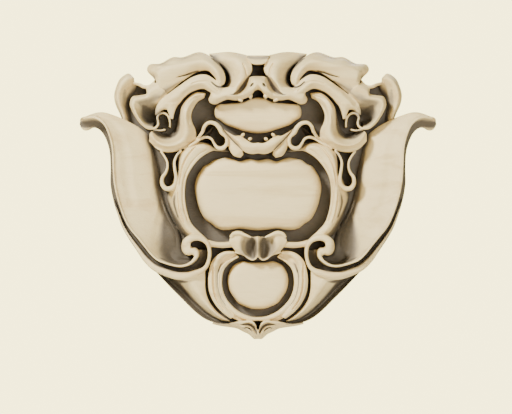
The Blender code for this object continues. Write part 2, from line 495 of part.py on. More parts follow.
def board(name, across, behind):
    front = [(across, -far), (far, -far), (far, far), (across, far)]
    rings = np.array([[(o, u, z) for o, u in front] for z in (behind, far)], float)
    verts, faces = tube(rings)
    return meshObject(name, verts, faces, cutters)


body = bpy.data.collections.new("cartouche")
bpy.context.scene.collection.children.link(body)
seed = forms.objects[0]
forms.objects.unlink(seed)
body.objects.link(seed)


def boolean(thing, name, operation):
    step = thing.modifiers.new(name, "BOOLEAN")
    step.operation = operation
    step.solver = "MANIFOLD"
    return step


def evaluated(thing):
    graph = bpy.context.evaluated_depsgraph_get()
    return bpy.data.meshes.new_from_object(thing.evaluated_get(graph))


for label, operation, home in (("join", "UNION", forms), ("crease", "DIFFERENCE", gouges)):
    step = boolean(seed, label, operation)
    step.operand_type = "COLLECTION"
    step.collection = home
boolean(seed, "rough cut", "INTERSECT").object = board("rough board", -3, -3)
skin = seed.modifiers.new("skin", "REMESH")
skin.mode = "VOXEL"
skin.voxel_size = skinStep
whole = evaluated(seed)

# The skin is thinned to the facets the form needs, then cut flat at the wall and at the axis
block = bpy.data.objects.new("block", whole)
body.objects.link(block)
thin = block.modifiers.new("thin", "DECIMATE")
thin.ratio = facetsInHalf / (2 * len(whole.polygons))
boolean(block, "last cut", "INTERSECT").object = board("last board", 0, 0)
mesh = evaluated(block)

bm = bmesh.new()
bm.from_mesh(mesh)
for v in bm.verts:
    if abs(v.co.x) < 0.00005:
        v.co.x = 0
bmesh.ops.remove_doubles(bm, verts=bm.verts, dist=0.00002)
bmesh.ops.delete(bm, geom=[f for f in bm.faces if all(v.co.x == 0 for v in f.verts)], context="FACES")
bmesh.ops.triangulate(bm, faces=bm.faces)
bm.to_mesh(mesh)
bm.free()

for thing in list(bpy.data.objects):
    bpy.data.objects.remove(thing)
for home in (forms, gouges, cutters):
    bpy.data.collections.remove(home)

cartouche = bpy.data.objects.new("cartouche", mesh)
body.objects.link(cartouche)
mirror = cartouche.modifiers.new("mirror", "MIRROR")
mirror.use_axis = (True, False, False)
mirror.use_clip = True
mirror.merge_threshold = 0.00001

wood = bpy.data.materials.new("limewood")
wood.use_nodes = True
shader = wood.node_tree.nodes["Principled BSDF"]
shader.inputs["Base Color"].default_value = (0.86, 0.79, 0.64, 1)
shader.inputs["Roughness"].default_value = 0.55
mesh.materials.clear()
mesh.materials.append(wood)
mesh.shade_smooth()
mesh.set_sharp_from_angle(angle=math.radians(38))
print("triangles in the half", len(mesh.polygons))
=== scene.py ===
# Carved limewood cartouche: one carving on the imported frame, its wood, the camera and the light.
# Grid of the drawing: out from the axis, up from the main tablet's middle, rise from the wall, 2 mm a step.
import bpy
import bmesh
import json
import math
import numpy as np
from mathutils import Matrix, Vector

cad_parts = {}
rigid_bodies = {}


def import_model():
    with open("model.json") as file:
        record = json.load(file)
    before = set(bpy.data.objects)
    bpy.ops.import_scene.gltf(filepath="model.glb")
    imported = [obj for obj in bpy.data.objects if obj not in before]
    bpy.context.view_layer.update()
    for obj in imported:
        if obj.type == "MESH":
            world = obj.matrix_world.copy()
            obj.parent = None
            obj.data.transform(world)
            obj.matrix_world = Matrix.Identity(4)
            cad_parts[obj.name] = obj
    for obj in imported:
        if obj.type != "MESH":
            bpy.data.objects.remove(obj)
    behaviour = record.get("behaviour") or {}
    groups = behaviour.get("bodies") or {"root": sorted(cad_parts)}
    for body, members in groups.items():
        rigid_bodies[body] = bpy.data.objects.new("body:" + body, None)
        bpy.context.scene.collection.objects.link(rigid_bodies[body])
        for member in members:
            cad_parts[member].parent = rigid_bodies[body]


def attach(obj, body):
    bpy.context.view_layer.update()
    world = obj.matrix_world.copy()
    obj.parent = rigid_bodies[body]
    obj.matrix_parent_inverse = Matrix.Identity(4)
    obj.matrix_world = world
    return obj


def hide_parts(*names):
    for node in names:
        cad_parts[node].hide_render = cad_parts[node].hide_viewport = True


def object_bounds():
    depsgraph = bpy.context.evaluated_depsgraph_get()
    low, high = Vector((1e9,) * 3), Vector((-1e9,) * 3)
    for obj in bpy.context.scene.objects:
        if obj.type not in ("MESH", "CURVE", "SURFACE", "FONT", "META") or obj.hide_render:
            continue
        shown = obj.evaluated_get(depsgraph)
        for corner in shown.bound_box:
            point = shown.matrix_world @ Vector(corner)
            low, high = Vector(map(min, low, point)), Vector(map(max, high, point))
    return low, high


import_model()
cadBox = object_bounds()
print("frame loaded", cadBox)

carvingValues = {
    "width": 0.716,          # over the tips of the wings
    "gridHalf": 179.5,       # half of it on the grid
    "ground": 8.0,           # carved ground between the forms
    "tabletTop": 30.0, "tabletEdge": 12.0,
    "smallTop": 26.0, "smallEdge": 12.0,
    "upperTop": 30.0, "upperEdge": 20.0,
    "frameRise": 40.0,
    "fine": 3.0,             # steps along and across the forms
    "fineRidge": 2.0,        # steps round a ridge
    "crease": 34,            # degrees past which an edge stays crisp
    "perSpan": 24,           # points of a curve between two stations
    "past": -4.0,            # the forms run on behind the wall and past the axis, and are cut there
}
unit = carvingValues["width"] / 2 / carvingValues["gridHalf"]
groundTop = carvingValues["ground"]
tabletTop = carvingValues["tabletTop"]
tabletEdge = carvingValues["tabletEdge"]
smallTop = carvingValues["smallTop"]
smallEdge = carvingValues["smallEdge"]
upperTop = carvingValues["upperTop"]
upperEdge = carvingValues["upperEdge"]
frameRise = carvingValues["frameRise"]
fine = carvingValues["fine"]
fineRidge = carvingValues["fineRidge"]
perSpan = carvingValues["perSpan"]
back = carvingValues["past"]
axis = carvingValues["past"]
tiny = 1e-9                  # keeps a division by a length from failing


# Curves through stations, cubic between each two: the tangent is the mean of the slopes beside the station,
# each weighed by the other's step. A fourth value of a station is the width of a ridge there
def dense(stations):
    p = np.array(stations, float)
    step = np.linalg.norm(np.diff(p[:, :, :3], axis=0), axis=2).mean(1) ** 0.5 + tiny
    step = step[:, None, None]
    slope = np.diff(p, axis=0) / step
    inner = (slope[:-1] * step[1:] + slope[1:] * step[:-1]) / (step[1:] + step[:-1])
    tangent = np.concatenate([slope[:1], inner, slope[-1:]])
    t = np.linspace(0, 1, perSpan, endpoint=False)[:, None, None]
    rows = []
    for i in range(len(p) - 1):
        rows.append((2*t**3 - 3*t**2 + 1) * p[i] + (t**3 - 2*t**2 + t) * step[i] * tangent[i]
                    + (3*t**2 - 2*t**3) * p[i+1] + (t**3 - t**2) * step[i] * tangent[i+1])
    return np.concatenate(rows + [p[-1:]])


# Points at equal distances along the curves, read off their mean run
def even(rows, count, last=True):
    run = np.linalg.norm(np.diff(rows[:, :, :3], axis=0), axis=2).mean(1)
    along = np.concatenate([[0], np.cumsum(run)])
    want = np.linspace(0, along[-1], count, endpoint=last)
    flat = rows.reshape(len(rows), -1)
    picked = np.stack([np.interp(want, along, flat[:, c]) for c in range(flat.shape[1])], 1)
    return picked.reshape(count, rows.shape[1], rows.shape[2])


# A single line through its stations
def openLine(points, count):
    return even(dense(np.array(points, float)[:, None, :]), count)[:, 0]


# An outline runs on three stations before its start and four past its end, so its curve closes smoothly
def closedLine(outline, count):
    p = np.array([(o, u, 0) for o, u in outline], float)
    wrapped = np.concatenate([p[-3:], p, p[:4]])[:, None, :]
    turn = dense(wrapped)[3 * perSpan:(3 + len(p)) * perSpan + 1]
    return even(turn, count, last=False)[:, 0]


# Half an outline and its mirror image, without doubling the stations on the axis
def bilateral(half):
    return list(half) + [(-o, u) for o, u in reversed(half) if o > 0.01]


# Columns of a surface between rails: a smooth curve through several, or a straight line between two,
# raised by half a sine wave of the height given for each unit of its length
def across(rails, spans):
    columns = [rails[:, 0]]
    r = 0
    for kind, amount, steps in spans:
        steps = round(steps * fine)
        if kind == "smooth":
            part = even(dense(rails[:, r:r + amount + 1].transpose(1, 0, 2)), steps + 1)
            columns += [part[i] for i in range(1, steps + 1)]
            r += amount
            continue
        a = rails[:, r]
        b = rails[:, r + 1]
        reach = np.linalg.norm((b - a)[:, :2], axis=1)
        for x in np.linspace(0, 1, steps + 1)[1:]:
            q = a + (b - a) * x
            q[:, 2] += amount * reach * math.sin(math.pi * x)
            columns.append(q)
        r += 1
    return np.stack(columns, 1)


# Quads between n rings of m points: two neighbours on a ring and the same two on the next
def quadsBetween(n, m):
    i, j = np.meshgrid(np.arange(n - 1), np.arange(m), indexing="ij")
    a = i * m + j
    b = i * m + (j + 1) % m
    return np.stack([a, b, b + m, a + m], -1).reshape(-1, 4).tolist()


# Closed bodies, as vertices and faces. A tube joins its rings and caps both ends
def tube(rings):
    n, m, _ = rings.shape
    caps = [list(range(m))[::-1], [(n - 1) * m + k for k in range(m)]]
    return rings.reshape(-1, 3), quadsBetween(n, m) + caps


# A band's front lies on its rails; its two lower corners stand behind them, drawn in by the tuck
def band(rails, spans, rows, tuck=0.0):
    front = across(even(dense(np.array(rails, float).transpose(1, 0, 2)), round(rows * fine)), spans)
    low = np.stack([front[:, -1], front[:, 0]], 1)
    middle = low.mean(1, keepdims=True)
    low = low + (middle - low) * tuck
    low[:, :, 2] = back
    return tube(np.concatenate([front, low], 1))


# Across a line in the plane of the drawing: its tangent, one long, turned by a quarter
def sideOf(line):
    d = np.gradient(line[:, :2], axis=0)
    d /= np.linalg.norm(d, axis=1)[:, None] + tiny
    return np.stack([-d[:, 1], d[:, 0]], 1)


# A ridge is half a round across its path, on a foot of the depth given or down to the back
def ridge(path, rows, steps=4, depth=None):
    q = openLine(path, round(rows * fine))
    line = q[:, :3]
    wide = q[:, 3]
    side = sideOf(line)
    columns = []
    for a in np.linspace(0, math.pi, round(steps * fineRidge) + 1):
        c = line.copy()
        c[:, :2] += side * (wide / 2 * math.cos(a))[:, None]
        c[:, 2] += (math.sin(a) - 1) * wide * 0.5
        columns.append(c)
    front = np.stack(columns, 1)
    low = np.stack([front[:, -1], front[:, 0]], 1).copy()
    low[:, :, 2] = back if depth is None else low[:, :, 2] - depth
    return tube(np.concatenate([front, low], 1))


# A boss shrinks its outline by the cosine of an angle, and rises by the root of 1 less a power of that cosine
def boss(outline, centre, edge, top, around, rings, power=4.0):
    loop = closedLine(outline, round(around * fine))
    rings = round(rings * fine)
    c = np.array([centre[0], centre[1], 0.0])
    loops = [loop + [0, 0, back]]
    for k in range(rings):
        x = math.cos(0.5 * math.pi * k / rings)
        q = c + (loop - c) * x
        q[:, 2] = edge + (top - edge) * math.sqrt(max(0.0, 1 - x ** power))
        loops.append(q)
    rows = np.stack(loops)
    n, m, _ = rows.shape
    fan = [[(n - 1) * m + k, (n - 1) * m + (k + 1) % m, n * m] for k in range(m)]
    faces = quadsBetween(n, m) + fan + [list(range(m))[::-1]]
    return np.concatenate([rows.reshape(-1, 3), [[centre[0], centre[1], top]]]), faces


# A slab stands straight up from the back to a flat top
def slab(outline, top, around):
    loop = closedLine(outline, round(around * fine))
    return tube(np.stack([loop + [0, 0, back], loop + [0, 0, top]]))


# A tooth is a small low boss on an ellipse of eight stations, turned by an angle
def tooth(out, up, rise, length, thick, turn):
    a = np.linspace(0, 2 * math.pi, 8, endpoint=False)
    x = length * np.cos(a)
    y = thick * np.sin(a)
    outline = np.stack([out + x * math.cos(turn) - y * math.sin(turn),
                        up + x * math.sin(turn) + y * math.cos(turn)], 1)
    return boss(outline.tolist(), (out, up), rise - 2, rise, 8, 2, 2)


# A rail part of the way from one to another, with a share of its own for the rise
def between(a, b, share, lift):
    p = np.array(a, float)
    q = np.array(b, float)
    m = p + (q - p) * share
    m[:, 2] = p[:, 2] + (q[:, 2] - p[:, 2]) * lift
    return m.tolist()


bodies = []


def add(name, body):
    bodies.append((name, body))


# Ground that joins the forms
add("ground", slab(bilateral([
    (0, 137), (30, 139), (60, 138), (88, 132), (104, 126), (104, 115), (113, 110), (124, 112), (133, 116),
    (140, 103), (137, 85), (130, 73), (118, 62), (112, 45), (112, 0), (104, -30), (92, -55), (90, -80),
    (75, -101), (58, -118), (40, -127), (20, -130), (6, -138), (0, -138)]), groundTop, 80))

# Tablets
mainEdge = [(0, 35.5), (10, 37), (19, 34.5), (25, 36.5), (32, 38), (38, 37), (44, 35.5), (50, 31.5), (55, 29),
            (58, 25), (62, 18), (64, 8), (62.5, -3), (60, -12), (57, -19), (53, -25), (47, -29), (42, -33),
            (37, -35), (30, -35.5), (20, -35), (10, -35.5), (0, -36)]
add("main tablet", boss(bilateral(mainEdge), (0, 0), tabletEdge, tabletTop, 56, 5, 16))
smallOutline = [(0, -67), (8, -67), (15, -66), (20, -67.5), (25, -70.5), (28.5, -76), (30.5, -82),
                (30.5, -90), (28.5, -97), (24, -104), (20, -109), (14, -112), (7, -114.5), (0, -115)]
add("lower tablet", boss(bilateral(smallOutline), (0, -91), smallEdge, smallTop, 40, 4, 11))
upperOutline = [(0, 98.5), (9, 97.3), (15, 94.3), (22, 93), (33, 91.8), (41, 90.8), (43.5, 85), (42.5, 78),
                (38, 75), (33, 71), (25, 68), (18, 65.5), (10, 63), (0, 62)]
add("upper tablet", boss(bilateral(upperOutline), (0, 80), upperEdge, upperTop, 40, 4, 11))

# Wings: sheets rising from the valley to the rolled lip
root = [(111, 61, 16), (109, 55, 15), (106, 45, 14), (103, 33, 13), (100, 20, 13), (98, 5, 12), (94, -10, 12),
        (88, -23, 12), (80, -37, 12), (77, -50, 12), (74, -60, 12), (66, -63, 13)]
wingMiddle = [(144, 80, 24), (138, 70, 29), (130, 58, 29), (125, 43, 30), (122, 26, 30), (120.5, 9, 30),
              (116, -8, 30), (109.5, -27, 29), (102, -42, 26), (93, -57.5, 20), (81, -66.5, 15),
              (68, -67, 14)]
lip = [(177.5, 77, 28), (164, 77.2, 34), (152, 67.5, 36), (146, 50, 37), (144.2, 30, 37), (143.3, 12, 37),
       (138.5, -8, 37), (129, -31, 38), (117, -46, 39), (101, -64.5, 40), (85, -71, 41), (69, -69.5, 42)]
shoulder = between(root, wingMiddle, 0.30, 0.58)
shoulder[0] = [121, 68.8, 20]
rim = between(wingMiddle, lip, 0.80, 0.72)
rim[0] = [163, 82.6, 26]
add("wing", band([root, shoulder, wingMiddle, rim, lip], [("smooth", 4, 10)], 18))

# Gutter outside the lip
gutterIn = [(178.8, 75.5, 27), (176.5, 78, 30), (168, 78.8, 33), (162, 77, 35), (157, 74.5, 36),
            (153, 70, 36), (150, 64, 36), (146, 50, 36), (144.2, 30, 36), (143.2, 11, 36), (138.5, -8, 36),
            (132.5, -24, 36), (124, -38, 37), (114, -51, 38), (102, -64, 39), (91, -69, 40), (78, -72, 41),
            (67, -68.5, 42), (61, -61, 42), (61, -55, 42)]
gutterOut = [(179.4, 71, 20), (177, 66.2, 19), (171.7, 65.6, 17), (166.5, 68.2, 16), (161.5, 67, 15),
             (157, 63, 14), (153.5, 57, 14), (149.8, 45, 14), (148.6, 28, 14), (148.6, 10, 14),
             (144.6, -10, 14), (138.2, -28, 14), (129.8, -43, 15), (119.5, -56, 15), (105, -72, 15),
             (92, -76.5, 15), (77, -78.5, 15), (62, -76, 15), (52, -67, 16), (49.5, -55, 18)]
gutterFoot = between(gutterIn, gutterOut, 0.22, 0.86)
add("gutter", band([gutterIn, gutterFoot, gutterOut], [("line", 0, 1), ("line", 0, 1)], 30))
add("lip", ridge([(175.5, 77, 30, 2.6), (163, 77.6, 35, 2.4), (154, 71.5, 37.5, 2.2), (148.5, 60, 38.5, 2),
                  (145.5, 47, 39, 1.8), (144.6, 30, 39, 1.8), (143.3, 12, 39, 1.8), (139, -7, 39, 1.8),
                  (130, -29.5, 40, 1.8), (117.5, -45.3, 41, 1.9), (101.7, -63.8, 42, 1.9),
                  (91, -68.3, 43, 1.9), (78, -71, 44, 2), (70, -69.3, 44, 2.4), (64.3, -65.2, 44, 3),
                  (61.3, -60, 44, 4.4), (62.2, -56.2, 44, 5)], 36, 3, 8))

# Bead that leaves the gutter and rolls into the volute
add("bead", ridge([(145.2, -4, 18, 1.6), (140.2, -19.5, 22, 2), (135.2, -32, 25, 2.6), (128.4, -43, 28, 3.4),
                   (120.2, -54.2, 31, 4.4), (112.5, -64.2, 33, 6), (103, -72.6, 35, 7.2), (91, -77.8, 37, 8),
                   (81, -80.6, 38, 8.3), (71, -80.6, 38, 8.3), (62, -78, 38, 7), (56, -75.5, 38, 5),
                   (51.5, -71, 38, 3.8), (49, -64, 39, 3.4), (48.4, -57, 40, 3.5), (49.8, -50, 41, 4),
                   (53.5, -45.3, 42, 5), (59.5, -42.7, 43, 6), (66, -43, 44, 6.8), (71, -46.5, 44, 8),
                   (72, -51, 44, 8.5)], 40, 5))
add("volute eye", boss([(64, -61), (66, -59.7), (69, -60.5), (73, -59.5), (75.7, -56), (76.5, -51), (75, -45),
                        (71, -43), (67.5, -45), (67.2, -48.5), (67.8, -50.5), (66, -52.6), (62, -53),
                        (60, -55), (59.3, -58), (61, -61)], (68, -55), 38, 44, 24, 3, 3))

# Frame round the main tablet
frameIn = [(28, 43, 18), (40, 44.3, 22), (48, 43.5, 34), (58, 37, 37), (66.5, 27, 38), (72, 15, 38),
           (73.3, 0, 38), (71.5, -15, 38), (67, -28, 37), (60, -36, 36), (52, -43.3, 33)]
frameCrest = [(31, 47, 17), (43, 47.5, 25), (53, 48.5, 39), (64, 46, frameRise), (74, 37.5, frameRise),
              (77.5, 20, frameRise), (80, 3, frameRise), (79, -14, frameRise), (75, -27, 39), (69, -36, 38),
              (60, -43, 36)]
frameOut = [(34, 49, 15), (47, 52, 20), (60, 53, 26), (70, 48.5, 29), (79.5, 41, 25), (83, 22, 18),
            (92, 3, 13), (89, -14, 12), (84, -27, 12), (78, -38, 13), (68, -45, 16)]
add("frame", band([frameIn, frameCrest, frameOut], [("smooth", 2, 6)], 20))

# Lower flaps
flapOut = [(104, -76, 20), (97, -83.5, 19), (88, -93, 19), (77, -104, 19), (66, -115, 19), (57, -122.5, 19),
           (48, -127.2, 19), (38, -129.3, 20), (28, -129.3, 22)]
flapHollow = [(97, -77.5, 10), (89, -86.5, 8), (79.5, -95, 8), (71, -103.5, 8), (62.5, -112, 8),
              (54.5, -119, 8), (46, -124.3, 9), (38, -127.2, 12), (30, -128.2, 16)]
flapCrest = [(72, -80, 34), (67.5, -86, 33), (63, -93, 32), (58.5, -100, 31), (53.5, -107.5, 30),
             (47.5, -114, 29), (41.5, -119.5, 28), (35, -124, 27), (30, -126, 26)]
flapIn = [(53, -72, 31), (53, -80, 30), (53, -87, 29), (52.8, -94, 28), (50.8, -103, 27), (46.8, -110.5, 26),
          (41.4, -117, 25), (34.6, -122.5, 24), (28, -126.8, 23)]
add("lower flap", band([flapOut, between(flapOut, flapHollow, 0.16, 0.1), flapHollow, flapCrest, flapIn],
                       [("line", 0, 1), ("smooth", 3, 6)], 14, 0.05))

# Strands of the ring round the lower tablet
ringIn = [(19, -62, 24), (28, -67.5, 26), (33.5, -74, 27), (36, -83, 28), (36, -93, 28), (33, -103.5, 28),
          (28, -112, 27), (21, -117.8, 25), (13, -121.3, 24), (5, -122.6, 24), (axis, -122.7, 24)]
ringOut = [(24, -57.5, 26), (34, -58, 27), (43, -65, 28), (46.5, -75, 28), (47, -87, 28), (45.5, -99, 28),
           (40, -110.5, 28), (31, -119.5, 26), (20, -126, 24), (8, -126.5, 24), (axis, -126, 24)]
add("ring base", band([ringIn, ringOut], [("line", 0, 2)], 22))
add("wide strand", band([
    [(24, -56, 30), (33, -56.5, 31), (41, -60.5, 31), (46.5, -67, 31), (49, -76, 31), (50, -86, 31),
     (49, -96, 31), (45.4, -105.5, 31), (40.4, -113, 30), (34.4, -119, 29), (27.5, -124.2, 27)],
    [(24, -59.5, 30), (31, -60.5, 30), (35.7, -64.4, 30), (39.2, -71, 30), (40.3, -79, 30), (40.4, -87, 30),
     (39.3, -95, 30), (36.8, -103, 30), (32.7, -110.5, 29), (28.2, -116, 28), (23, -121.5, 27)]],
    [("dome", 0.38, 4)], 20))
add("thin strand", ridge([(28, -65.6, 31, 1.8), (34, -69.8, 31, 2), (38.4, -77, 31, 2), (39.6, -86, 31, 2),
                          (38.6, -95, 31, 2), (36, -103.5, 31, 2), (32, -110, 30, 1.8),
                          (27.5, -115, 28, 1.6)],
                         18, 3, 9))
add("inner strand", ridge([(20, -61.8, 28, 2), (27, -65.8, 30, 2), (33, -71.2, 30, 2.2),
                           (36.8, -78.5, 30, 2.2), (37.5, -87, 30, 2.4), (36.6, -96, 30, 2.8),
                           (33.3, -105, 30, 3.6), (27.8, -112.8, 30, 4.8), (20.8, -118.8, 30, 5),
                           (13, -122.6, 30, 4.6), (5, -124.3, 30, 3.6), (axis, -124.5, 30, 3.4)], 28, 3, 9))

# Knot between the tablets, with its arms
add("knot", band([
    [(axis, -41, 43), (axis, -48, 45), (axis, -55, 44), (axis, -60.5, 40)],
    [(-1, -41, 43), (-1, -48, 45), (-1, -55, 44), (-1, -60.5, 40)],
    [(1.9, -41.5, 40), (2.2, -48, 38), (2.2, -55, 37), (1.8, -62, 35)],
    [(5.5, -42.5, 34), (6, -49, 26), (6, -56, 25), (5, -64.6, 31)],
    [(11, -41.5, 36), (12, -48.5, 30), (11.5, -56, 29), (9.5, -63.4, 32)],
    [(17, -39, 41), (18, -47, 41), (17, -54, 40), (14, -60.3, 37)],
    [(27.5, -41, 39), (28.5, -47, 39), (25, -53, 38), (21, -57.5, 35)]],
    [("line", 0, 1), ("line", 0, 1), ("smooth", 4, 10)], 9))
add("knot lip", ridge([(27.5, -42.5, 41, 3), (24.5, -38.8, 43, 3.6), (19, -37.8, 44, 3.8), (13, -40, 44, 3),
                       (7, -42.4, 43, 1.6)], 10, 3, 8))
add("knot hem", ridge([(23, -57.2, 36, 1.7), (14, -60, 36, 1.7), (9, -63.5, 36, 1.7), (5, -64.8, 37, 1.7),
                       (1.6, -62.8, 38, 1.7)], 10, 3, 8))
add("knot arm", band([[(26, -46.5, 37), (35, -47.3, 36), (42, -47, 35), (50, -45, 36)],
                      [(24, -52, 36), (35, -53, 35), (42, -52.5, 34), (50, -51.5, 35)]],
                     [("dome", 0.35, 3)], 7))

# Bottom lips
add("bottom lip", band([
    [(46, -128.8, 20), (36, -129.2, 25), (28, -128.5, 30), (20, -126.9, 33), (12, -125.9, 35),
     (6, -126.3, 36), (2.6, -129.5, 36), (0.9, -134.5, 35), (axis, -138, 34)],
    [(46, -129.9, 16), (38, -131.9, 16), (28, -133.3, 17), (21, -134.5, 19), (15, -137.5, 20),
     (9.5, -140, 22), (6, -143, 24), (3, -145, 24), (axis, -143.5, 24)]], [("dome", 0.42, 4)], 16))

# Lower jaw, its arm and the finger that crosses it
add("jaw", band([
    [(38, 68.5, 38), (29, 62, 41), (23, 59, 43), (18, 59, 43), (12, 55.3, 44), (6, 51.8, 45),
     (axis, 52.8, 45)],
    [(35.5, 65.5, 37), (28, 58, 39), (22, 50.5, 40), (17, 46, 41), (12, 42.5, 41), (6, 41, 41),
     (axis, 42.6, 41)]], [("dome", 0.3, 4)], 14))
add("finger", band([
    [(37, 67.5, 38), (31, 61, 38), (25, 54.7, 38), (20, 48.5, 38), (15.6, 43.8, 38), (14.6, 40.4, 34)],
    [(35, 64.5, 36), (31, 58.5, 36), (29.5, 52, 36), (29, 46.5, 36), (24.5, 39.4, 36), (17.8, 37.4, 34)]],
    [("dome", 0.3, 4)], 10))
add("lower tooth", tooth(15.2, 60, 46, 2.4, 1.5, -0.7))
add("lower tooth", tooth(8, 56, 47, 2.1, 1.5, -0.3))
add("upper tooth", tooth(17.8, 94.8, 44, 2.8, 1.3, 0.25))
add("upper tooth", tooth(7.4, 98.4, 46, 2.2, 1.7, -0.6))

# Cheek crescents that sweep out below the ears
add("crescent", band([
    [(54, 97.5, 30), (60, 94, 32), (64.3, 88, 34), (67, 80, 36), (66, 73, 37), (63, 66, 36), (62, 58, 33),
     (65, 53, 31), (72, 48, 31), (82, 43.8, 31), (93, 43, 31), (102, 46.8, 31), (109, 54, 30)],
    [(54, 100, 35), (62, 98.5, 39), (68.5, 93, 42), (72.5, 85, 44), (73, 76, 45), (72, 66, 44), (74, 58, 43),
     (80, 52, 43), (88, 49.5, 43), (96, 50.5, 42), (102, 54, 40), (106, 58.5, 37), (108.7, 60.5, 33)],
    [(52.5, 102, 31), (62, 102.5, 32), (71, 96.3, 32), (77, 87.5, 31), (79.5, 78, 28), (81.5, 70, 20),
     (84, 65, 14), (88, 61.5, 11), (92, 61, 11), (95, 61.5, 12), (98, 62.5, 15), (102, 64, 22),
     (107, 64, 29)]], [("smooth", 2, 7)], 24))

# Pouches under the cheeks and pendants beside the frame: rims round dark hollows
add("pouch", ridge([(64, 52.5, 33, 2.4), (60, 57, 35, 2.6), (55.5, 63.5, 38, 3), (53.6, 68.5, 41, 3.2),
                    (49.5, 72.2, 43, 3.2), (43.5, 71.6, 43, 3.8), (39, 67.5, 43, 4.4), (36, 62.5, 42, 5),
                    (32.2, 58.5, 42, 3.6), (31, 54, 41, 3.4), (32.2, 49.5, 41, 3.4), (36, 46.8, 41, 4),
                    (40.5, 47.3, 40, 3.4), (44, 51.8, 39, 2.4), (46.5, 55.9, 38, 2.4), (51, 57.8, 38, 2.4),
                    (56.5, 56.5, 38, 2.4), (62, 53, 38, 2.4), (68, 49.5, 38, 2.2), (74, 46, 37, 2)], 36, 3))
add("pendant", ridge([(97.5, 44, 33, 2), (93.3, 38, 34, 2), (91, 33, 35, 2), (90.8, 27, 36, 2.2),
                      (92.7, 22, 37, 2.6), (95.7, 17.5, 38, 3.2), (96, 11.5, 38, 3.8), (92.7, 6.7, 38, 4.6),
                      (87, 6.7, 38, 4.6), (83, 11, 39, 3.6), (82, 18, 40, 3.2), (83.3, 26, 39, 2.8),
                      (83.7, 33, 38, 2.4), (81.5, 39, 37, 2.2), (77, 45, 36, 2.2)], 28, 3))

# Upper jaw: the lobe that comes down from the crest, the lip and the nose
add("inner lobe", band([
    [(11.5, 140.4, 29), (9, 134.5, 38), (6.5, 130, 40), (6, 124.5, 41), (8.5, 119.5, 42), (11.5, 114, 42),
     (14, 109, 43), (15.5, 104.5, 44)],
    [(27, 143.4, 30), (20, 135, 42), (17, 127, 45), (16.5, 120, 46), (18, 114, 47), (20.5, 109.5, 47),
     (23, 106, 47), (25, 102, 47)],
    [(49.5, 141.8, 27), (42, 134.5, 28), (34, 128.5, 28), (29.5, 122, 28), (28.5, 115.5, 29), (31, 110, 31),
     (35, 106.5, 33), (38, 103, 38)]], [("smooth", 2, 7)], 14))
add("upper lip", band([
    [(5, 102.2, 40), (10, 98, 41), (16, 95.7, 41), (23, 94.8, 41), (31, 95.8, 41), (37, 93.3, 40),
     (43, 90.9, 39), (47.8, 92.2, 38), (49.4, 96, 36), (47.8, 99.2, 36)],
    [(8, 105, 45), (13, 101.5, 47), (19, 99.5, 47.5), (26, 99, 47.5), (33, 99.5, 47), (38.5, 97.5, 46),
     (43, 96.5, 45), (46, 97, 43.5), (46.8, 98.5, 42), (46.5, 100, 41)],
    [(12, 109, 43), (16, 107, 44), (22, 107.5, 46), (28, 107.5, 45), (34, 107, 43), (40, 106.5, 43),
     (44, 105.5, 43), (46.5, 104, 42), (47.3, 102.5, 40), (47.2, 101.5, 38)]], [("smooth", 2, 7)], 16))
add("nose", boss(bilateral([(0, 118.5), (6, 118.3), (10, 116), (12.5, 110.5), (15.5, 104), (17.5, 99.5),
                            (14, 97.5), (9, 98.8), (5.5, 101.2), (3.3, 104.3), (0, 105.5)]),
                 (0, 111), 40, 54, 36, 4, 2.2))

# Crown cup between the lobes
add("crown cup", band([[(axis, 139.6, 38), (5, 139.6, 38), (11.5, 139.6, 36)],
                       [(axis, 136.5, 40), (4, 136.5, 40), (10, 136.5, 39)],
                       [(axis, 130.2, 45), (5, 130.8, 45), (9.5, 134.5, 42)]], [("smooth", 2, 4)], 6))

# Crest: main lobe with its hook, then the lobe below it
add("crest lobe", band([
    [(103.6, 115.6, 25), (106.5, 119.5, 24), (111.5, 125, 23), (109, 131, 24), (98, 132, 27),
     (86, 138.2, 28), (76, 138.2, 28), (58, 143.3, 29), (44, 136, 37), (36, 127, 40), (32.6, 117, 41),
     (34.3, 110.6, 42), (37, 109, 42)],
    [(101, 112, 37), (100, 117, 39), (100, 120.5, 41), (97, 124, 42), (91, 126, 43), (83, 129, 44),
     (74, 130.5, 45), (57, 134, 46), (47, 129.5, 47), (41.5, 123.5, 47), (38.5, 117, 47), (38, 113, 46),
     (38.3, 111, 45)],
    [(99, 105, 35), (98, 101, 33), (96, 99, 32), (92, 101, 33), (87, 104.5, 34), (82, 109, 35),
     (75, 114.5, 36), (62, 122.8, 37), (51, 124.6, 39), (45.5, 120.5, 41), (42, 116, 42), (41, 112.8, 42),
     (39.8, 110.6, 43)]],
    [("smooth", 2, 8)], 26))
add("lower lobe", band([
    [(26, 104, 42), (35, 107.3, 43), (42, 114.2, 43), (52, 120, 43), (64, 118.3, 42), (76, 111, 40),
     (88, 102.5, 38), (98.5, 94, 36), (102.5, 86, 34), (103, 80, 32)],
    [(31, 99, 44), (40, 103, 46.5), (48, 108.5, 46.5), (55, 113, 46), (65, 111, 45), (75, 104.5, 44),
     (84.5, 97, 42), (93, 90.5, 40), (98, 86, 37), (101.8, 80.7, 33)],
    [(33, 96, 42), (42, 99, 44), (48.3, 103.2, 41), (55.5, 106.4, 39), (66, 103.5, 39), (74, 97.5, 38),
     (80, 90.5, 37), (87, 84.8, 36), (94.5, 85.6, 34), (100.5, 81.5, 32)]], [("smooth", 2, 7)], 22))
add("lobe tongue", band([[(79.5, 92, 37), (83.2, 84.5, 37), (85.3, 76, 33)],
                         [(92, 91, 40), (90.3, 84, 36), (87.2, 76.5, 33)]], [("dome", 0.2, 3)], 6))

